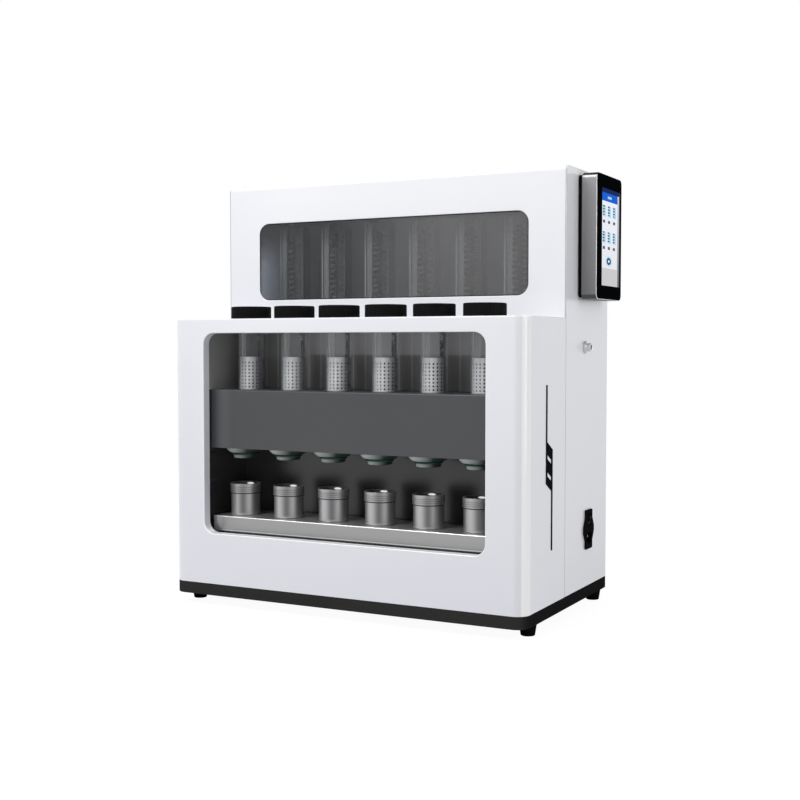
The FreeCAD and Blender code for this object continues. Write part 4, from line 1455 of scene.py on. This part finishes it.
def power_inlet():
    """The power inlet's plate, and behind it the socket with its pins and the switch's well."""
    outline = [(15, 31), (15, 18), (22.5, 4.5)]
    half = outline + [(y, -z) for y, z in reversed(outline)]
    points = half + [(-y, -z) for y, z in half]
    corners = [(HALF, INLET_Y + y, INLET_Z + z) for y, z in points]
    bm = prism(corners, (INLET_PLATE, 0, 0))
    soften(bm, lines(bm, 0, lambda p: abs(p.z - INLET_Z) > 30), 2.5, 4)
    socket = (about(INLET_Y, 12), about(SOCKET_Z, 8.25), -13)
    well = (about(INLET_Y, 6.9), about(ROCKER_Z, 9), -10.5)
    back = bmesh.new()
    low = (273, INLET_Y - INLET_HALF, INLET_Z - INLET_RISE)
    slab(back, low, (HALF, INLET_Y + INLET_HALF, INLET_Z + INLET_RISE))
    for span, rise, depth in (socket, well):
        join_walls(bm, 0, (HALF, HALF + INLET_PLATE), [span], [rise], 1.2, 3)
        open_wall(back, 0, HALF, [span], [rise], depth=depth, closed=True)
    piece("inlet_plate", bm, fitting_plastic, "fitting_black", ["power_inlet"], edge=0.5)
    piece("inlet_body", back, fitting_plastic, "fitting_black")
    pins = bmesh.new()
    for y, z in ((-7, 1.5), (7, 1.5), (0, -3)):
        low = (292, INLET_Y + y - 1, SOCKET_Z + z - 2)
        slab(pins, low, (303, low[1] + 2, low[2] + 4))
    piece("inlet_pins", pins, plated_metal, "fitting_metal", edge=0.3)


def power_rocker():
    """The switch's rocker with its two marks, leaning at rest."""
    radius, half, flat, mark = 8.6, 6.4, 7.6, 4.2
    slope = math.tan(ROCKER_LEAN)
    top = 4.5 + radius * slope
    edge = top - flat * slope
    points = [(top, 0), (edge, flat), *arc(0, 0, radius, 90, 270, 10)[1:-1], (edge, -flat)]
    bm = prism([(x, -half, z) for x, z in points], (0, 2 * half, 0))
    pivot = Matrix.Translation((INSIDE, INLET_Y, ROCKER_Z))
    tilt = pivot @ Matrix.Rotation(ROCKER_LEAN, 4, "Y")
    bm.transform(tilt)
    piece(
        "switch_rocker", bm, fitting_plastic, "fitting_black", ["power_rocker"], "rocker", edge=0.4
    )
    line = bmesh.new()
    slab(line, (-0.05, -0.35, -1.8), (0.12, 0.35, 1.8))
    ring = copies(pipe(1.9, 1.3, 0, 0.12, 24), Matrix.Rotation(math.pi / 2, 4, "Y"))
    marks = bmesh.new()
    for side, spot in ((1, line), (-1, ring)):
        middle = Matrix.Translation((top - mark * slope, 0, side * mark))
        set_down(marks, spot, tilt @ middle @ Matrix.Rotation(-side * ROCKER_LEAN, 4, "Y"))
    piece("switch_marks", marks, pale_seal, body="rocker")


# CAD nodes that keep their shape get their finish here

KEPT = {
    "tower_window": pane_glass,
    "chamber_liner": liner_paint,
    "chamber_block": milled_aluminium,
    "heater_mat": mat_silicone,
    "lift_carriage": milled_aluminium,
    "lead_nut": bronze,
    "lead_screw": ground_steel,
    "guide_rods": ground_steel,
    "lift_frame": milled_aluminium,
    "lift_motor": base_paint,
    "condenser_shelf": milled_aluminium,
    "water_manifold": manifold_plastic,
    "side_stripe": stripe_film,
    "power_supply": milled_aluminium,
    "control_board": board_lacquer,
}
for node, finish in KEPT.items():
    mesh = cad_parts[node].data
    mesh.materials.clear()
    mesh.materials.append(finish)

base_tray()
feet()
front_shell()
side_panels()
tower_shell()
rear_cover()
beam()
seals()
glass_chambers()
baskets()
caps()
cups()
hot_plate()
condensers()
touch_screen()
side_fittings()
power_inlet()
power_rocker()


# Camera, light and floor

# The room's light on the object, where 1 is white, and the floor's own light and its share
ROOM_LIGHT = 0.46
FLOOR_LIGHT = 1.12
FLOOR_SHARE = 0.85
# The photograph's camera: place in metres, turn and tilt in radians, lens in millimetres
CAMERA_PLACE = (0.9242, -1.7795, 0.4171)
CAMERA_TURN = math.radians(27.641)
CAMERA_TILT = math.radians(2.578)
CAMERA_LENS = 55.39
CAMERA_FILM = 36.0
# Each lamp's name, place, width, height and power
LAMPS = (
    ("key", (-0.8, -2.0, 2.5), 1.2, 1.2, 53),
    ("strip", (2.5, -0.15, 0.9), 0.5, 1.8, 12),
    ("top", (-0.1, -0.3, 2.5), 1.6, 1.0, 4),
)


def stage_floor():
    """A pale floor that shows as white, with the object's soft shadow on it."""
    bm = bmesh.new()
    bmesh.ops.create_grid(bm, x_segments=1, y_segments=1, size=6)
    mesh = bpy.data.meshes.new("floor")
    bm.to_mesh(mesh)
    bm.free()
    floor = bpy.data.objects.new("floor", mesh)
    bpy.context.scene.collection.objects.link(floor)
    pale = Finish("floor_white", roughness=0.9, specular=0.0)
    pale.set("Base Color", pale.mix(pale.grain(3.0), tone(206, 206, 208), tone(210, 210, 212)))
    sockets = {"Color": (1, 1, 1, 1), "Strength": FLOOR_LIGHT}
    glow = pale.node("ShaderNodeEmission", None, sockets)
    shine = Wire(pale, pale.shader.outputs[0])
    sockets = {0: pale.seen() * FLOOR_SHARE, 1: shine, 2: glow}
    both = pale.node("ShaderNodeMixShader", None, sockets)
    pale.feed(pale.tree.nodes["Material Output"].inputs["Surface"], both)
    mesh.materials.append(pale.material)


def studio_light():
    """A white room, a broad lamp front left, a tall one on the right and one above."""
    world = bpy.data.worlds.new("studio")
    bpy.context.scene.world = world
    room = Graph(world)
    background = room.tree.nodes["Background"]
    background.inputs["Color"].default_value = (1, 1, 1, 1)
    room.feed(background.inputs["Strength"], ROOM_LIGHT + (1 - ROOM_LIGHT) * room.seen())
    target = Vector((0.0, 0.0, 0.35))
    for name, place, width, height, power in LAMPS:
        light = bpy.data.lights.new(name, "AREA")
        light.shape = "RECTANGLE"
        light.size = width
        light.size_y = height
        light.energy = power
        lamp = bpy.data.objects.new(name, light)
        lamp.location = place
        lamp.rotation_euler = (target - Vector(place)).to_track_quat("-Z", "Y").to_euler()
        bpy.context.scene.collection.objects.link(lamp)


def photo_camera():
    """The camera at the photograph's angle."""
    data = bpy.data.cameras.new("camera")
    data.lens = CAMERA_LENS
    data.sensor_width = CAMERA_FILM
    camera = bpy.data.objects.new("camera", data)
    camera.location = CAMERA_PLACE
    level = math.cos(CAMERA_TILT)
    forward = (
        -math.sin(CAMERA_TURN) * level,
        math.cos(CAMERA_TURN) * level,
        -math.sin(CAMERA_TILT),
    )
    camera.rotation_euler = Vector(forward).to_track_quat("-Z", "Y").to_euler()
    bpy.context.scene.collection.objects.link(camera)
    bpy.context.scene.camera = camera


stage_floor()
studio_light()
photo_camera()
bpy.context.scene.view_settings.view_transform = "Standard"
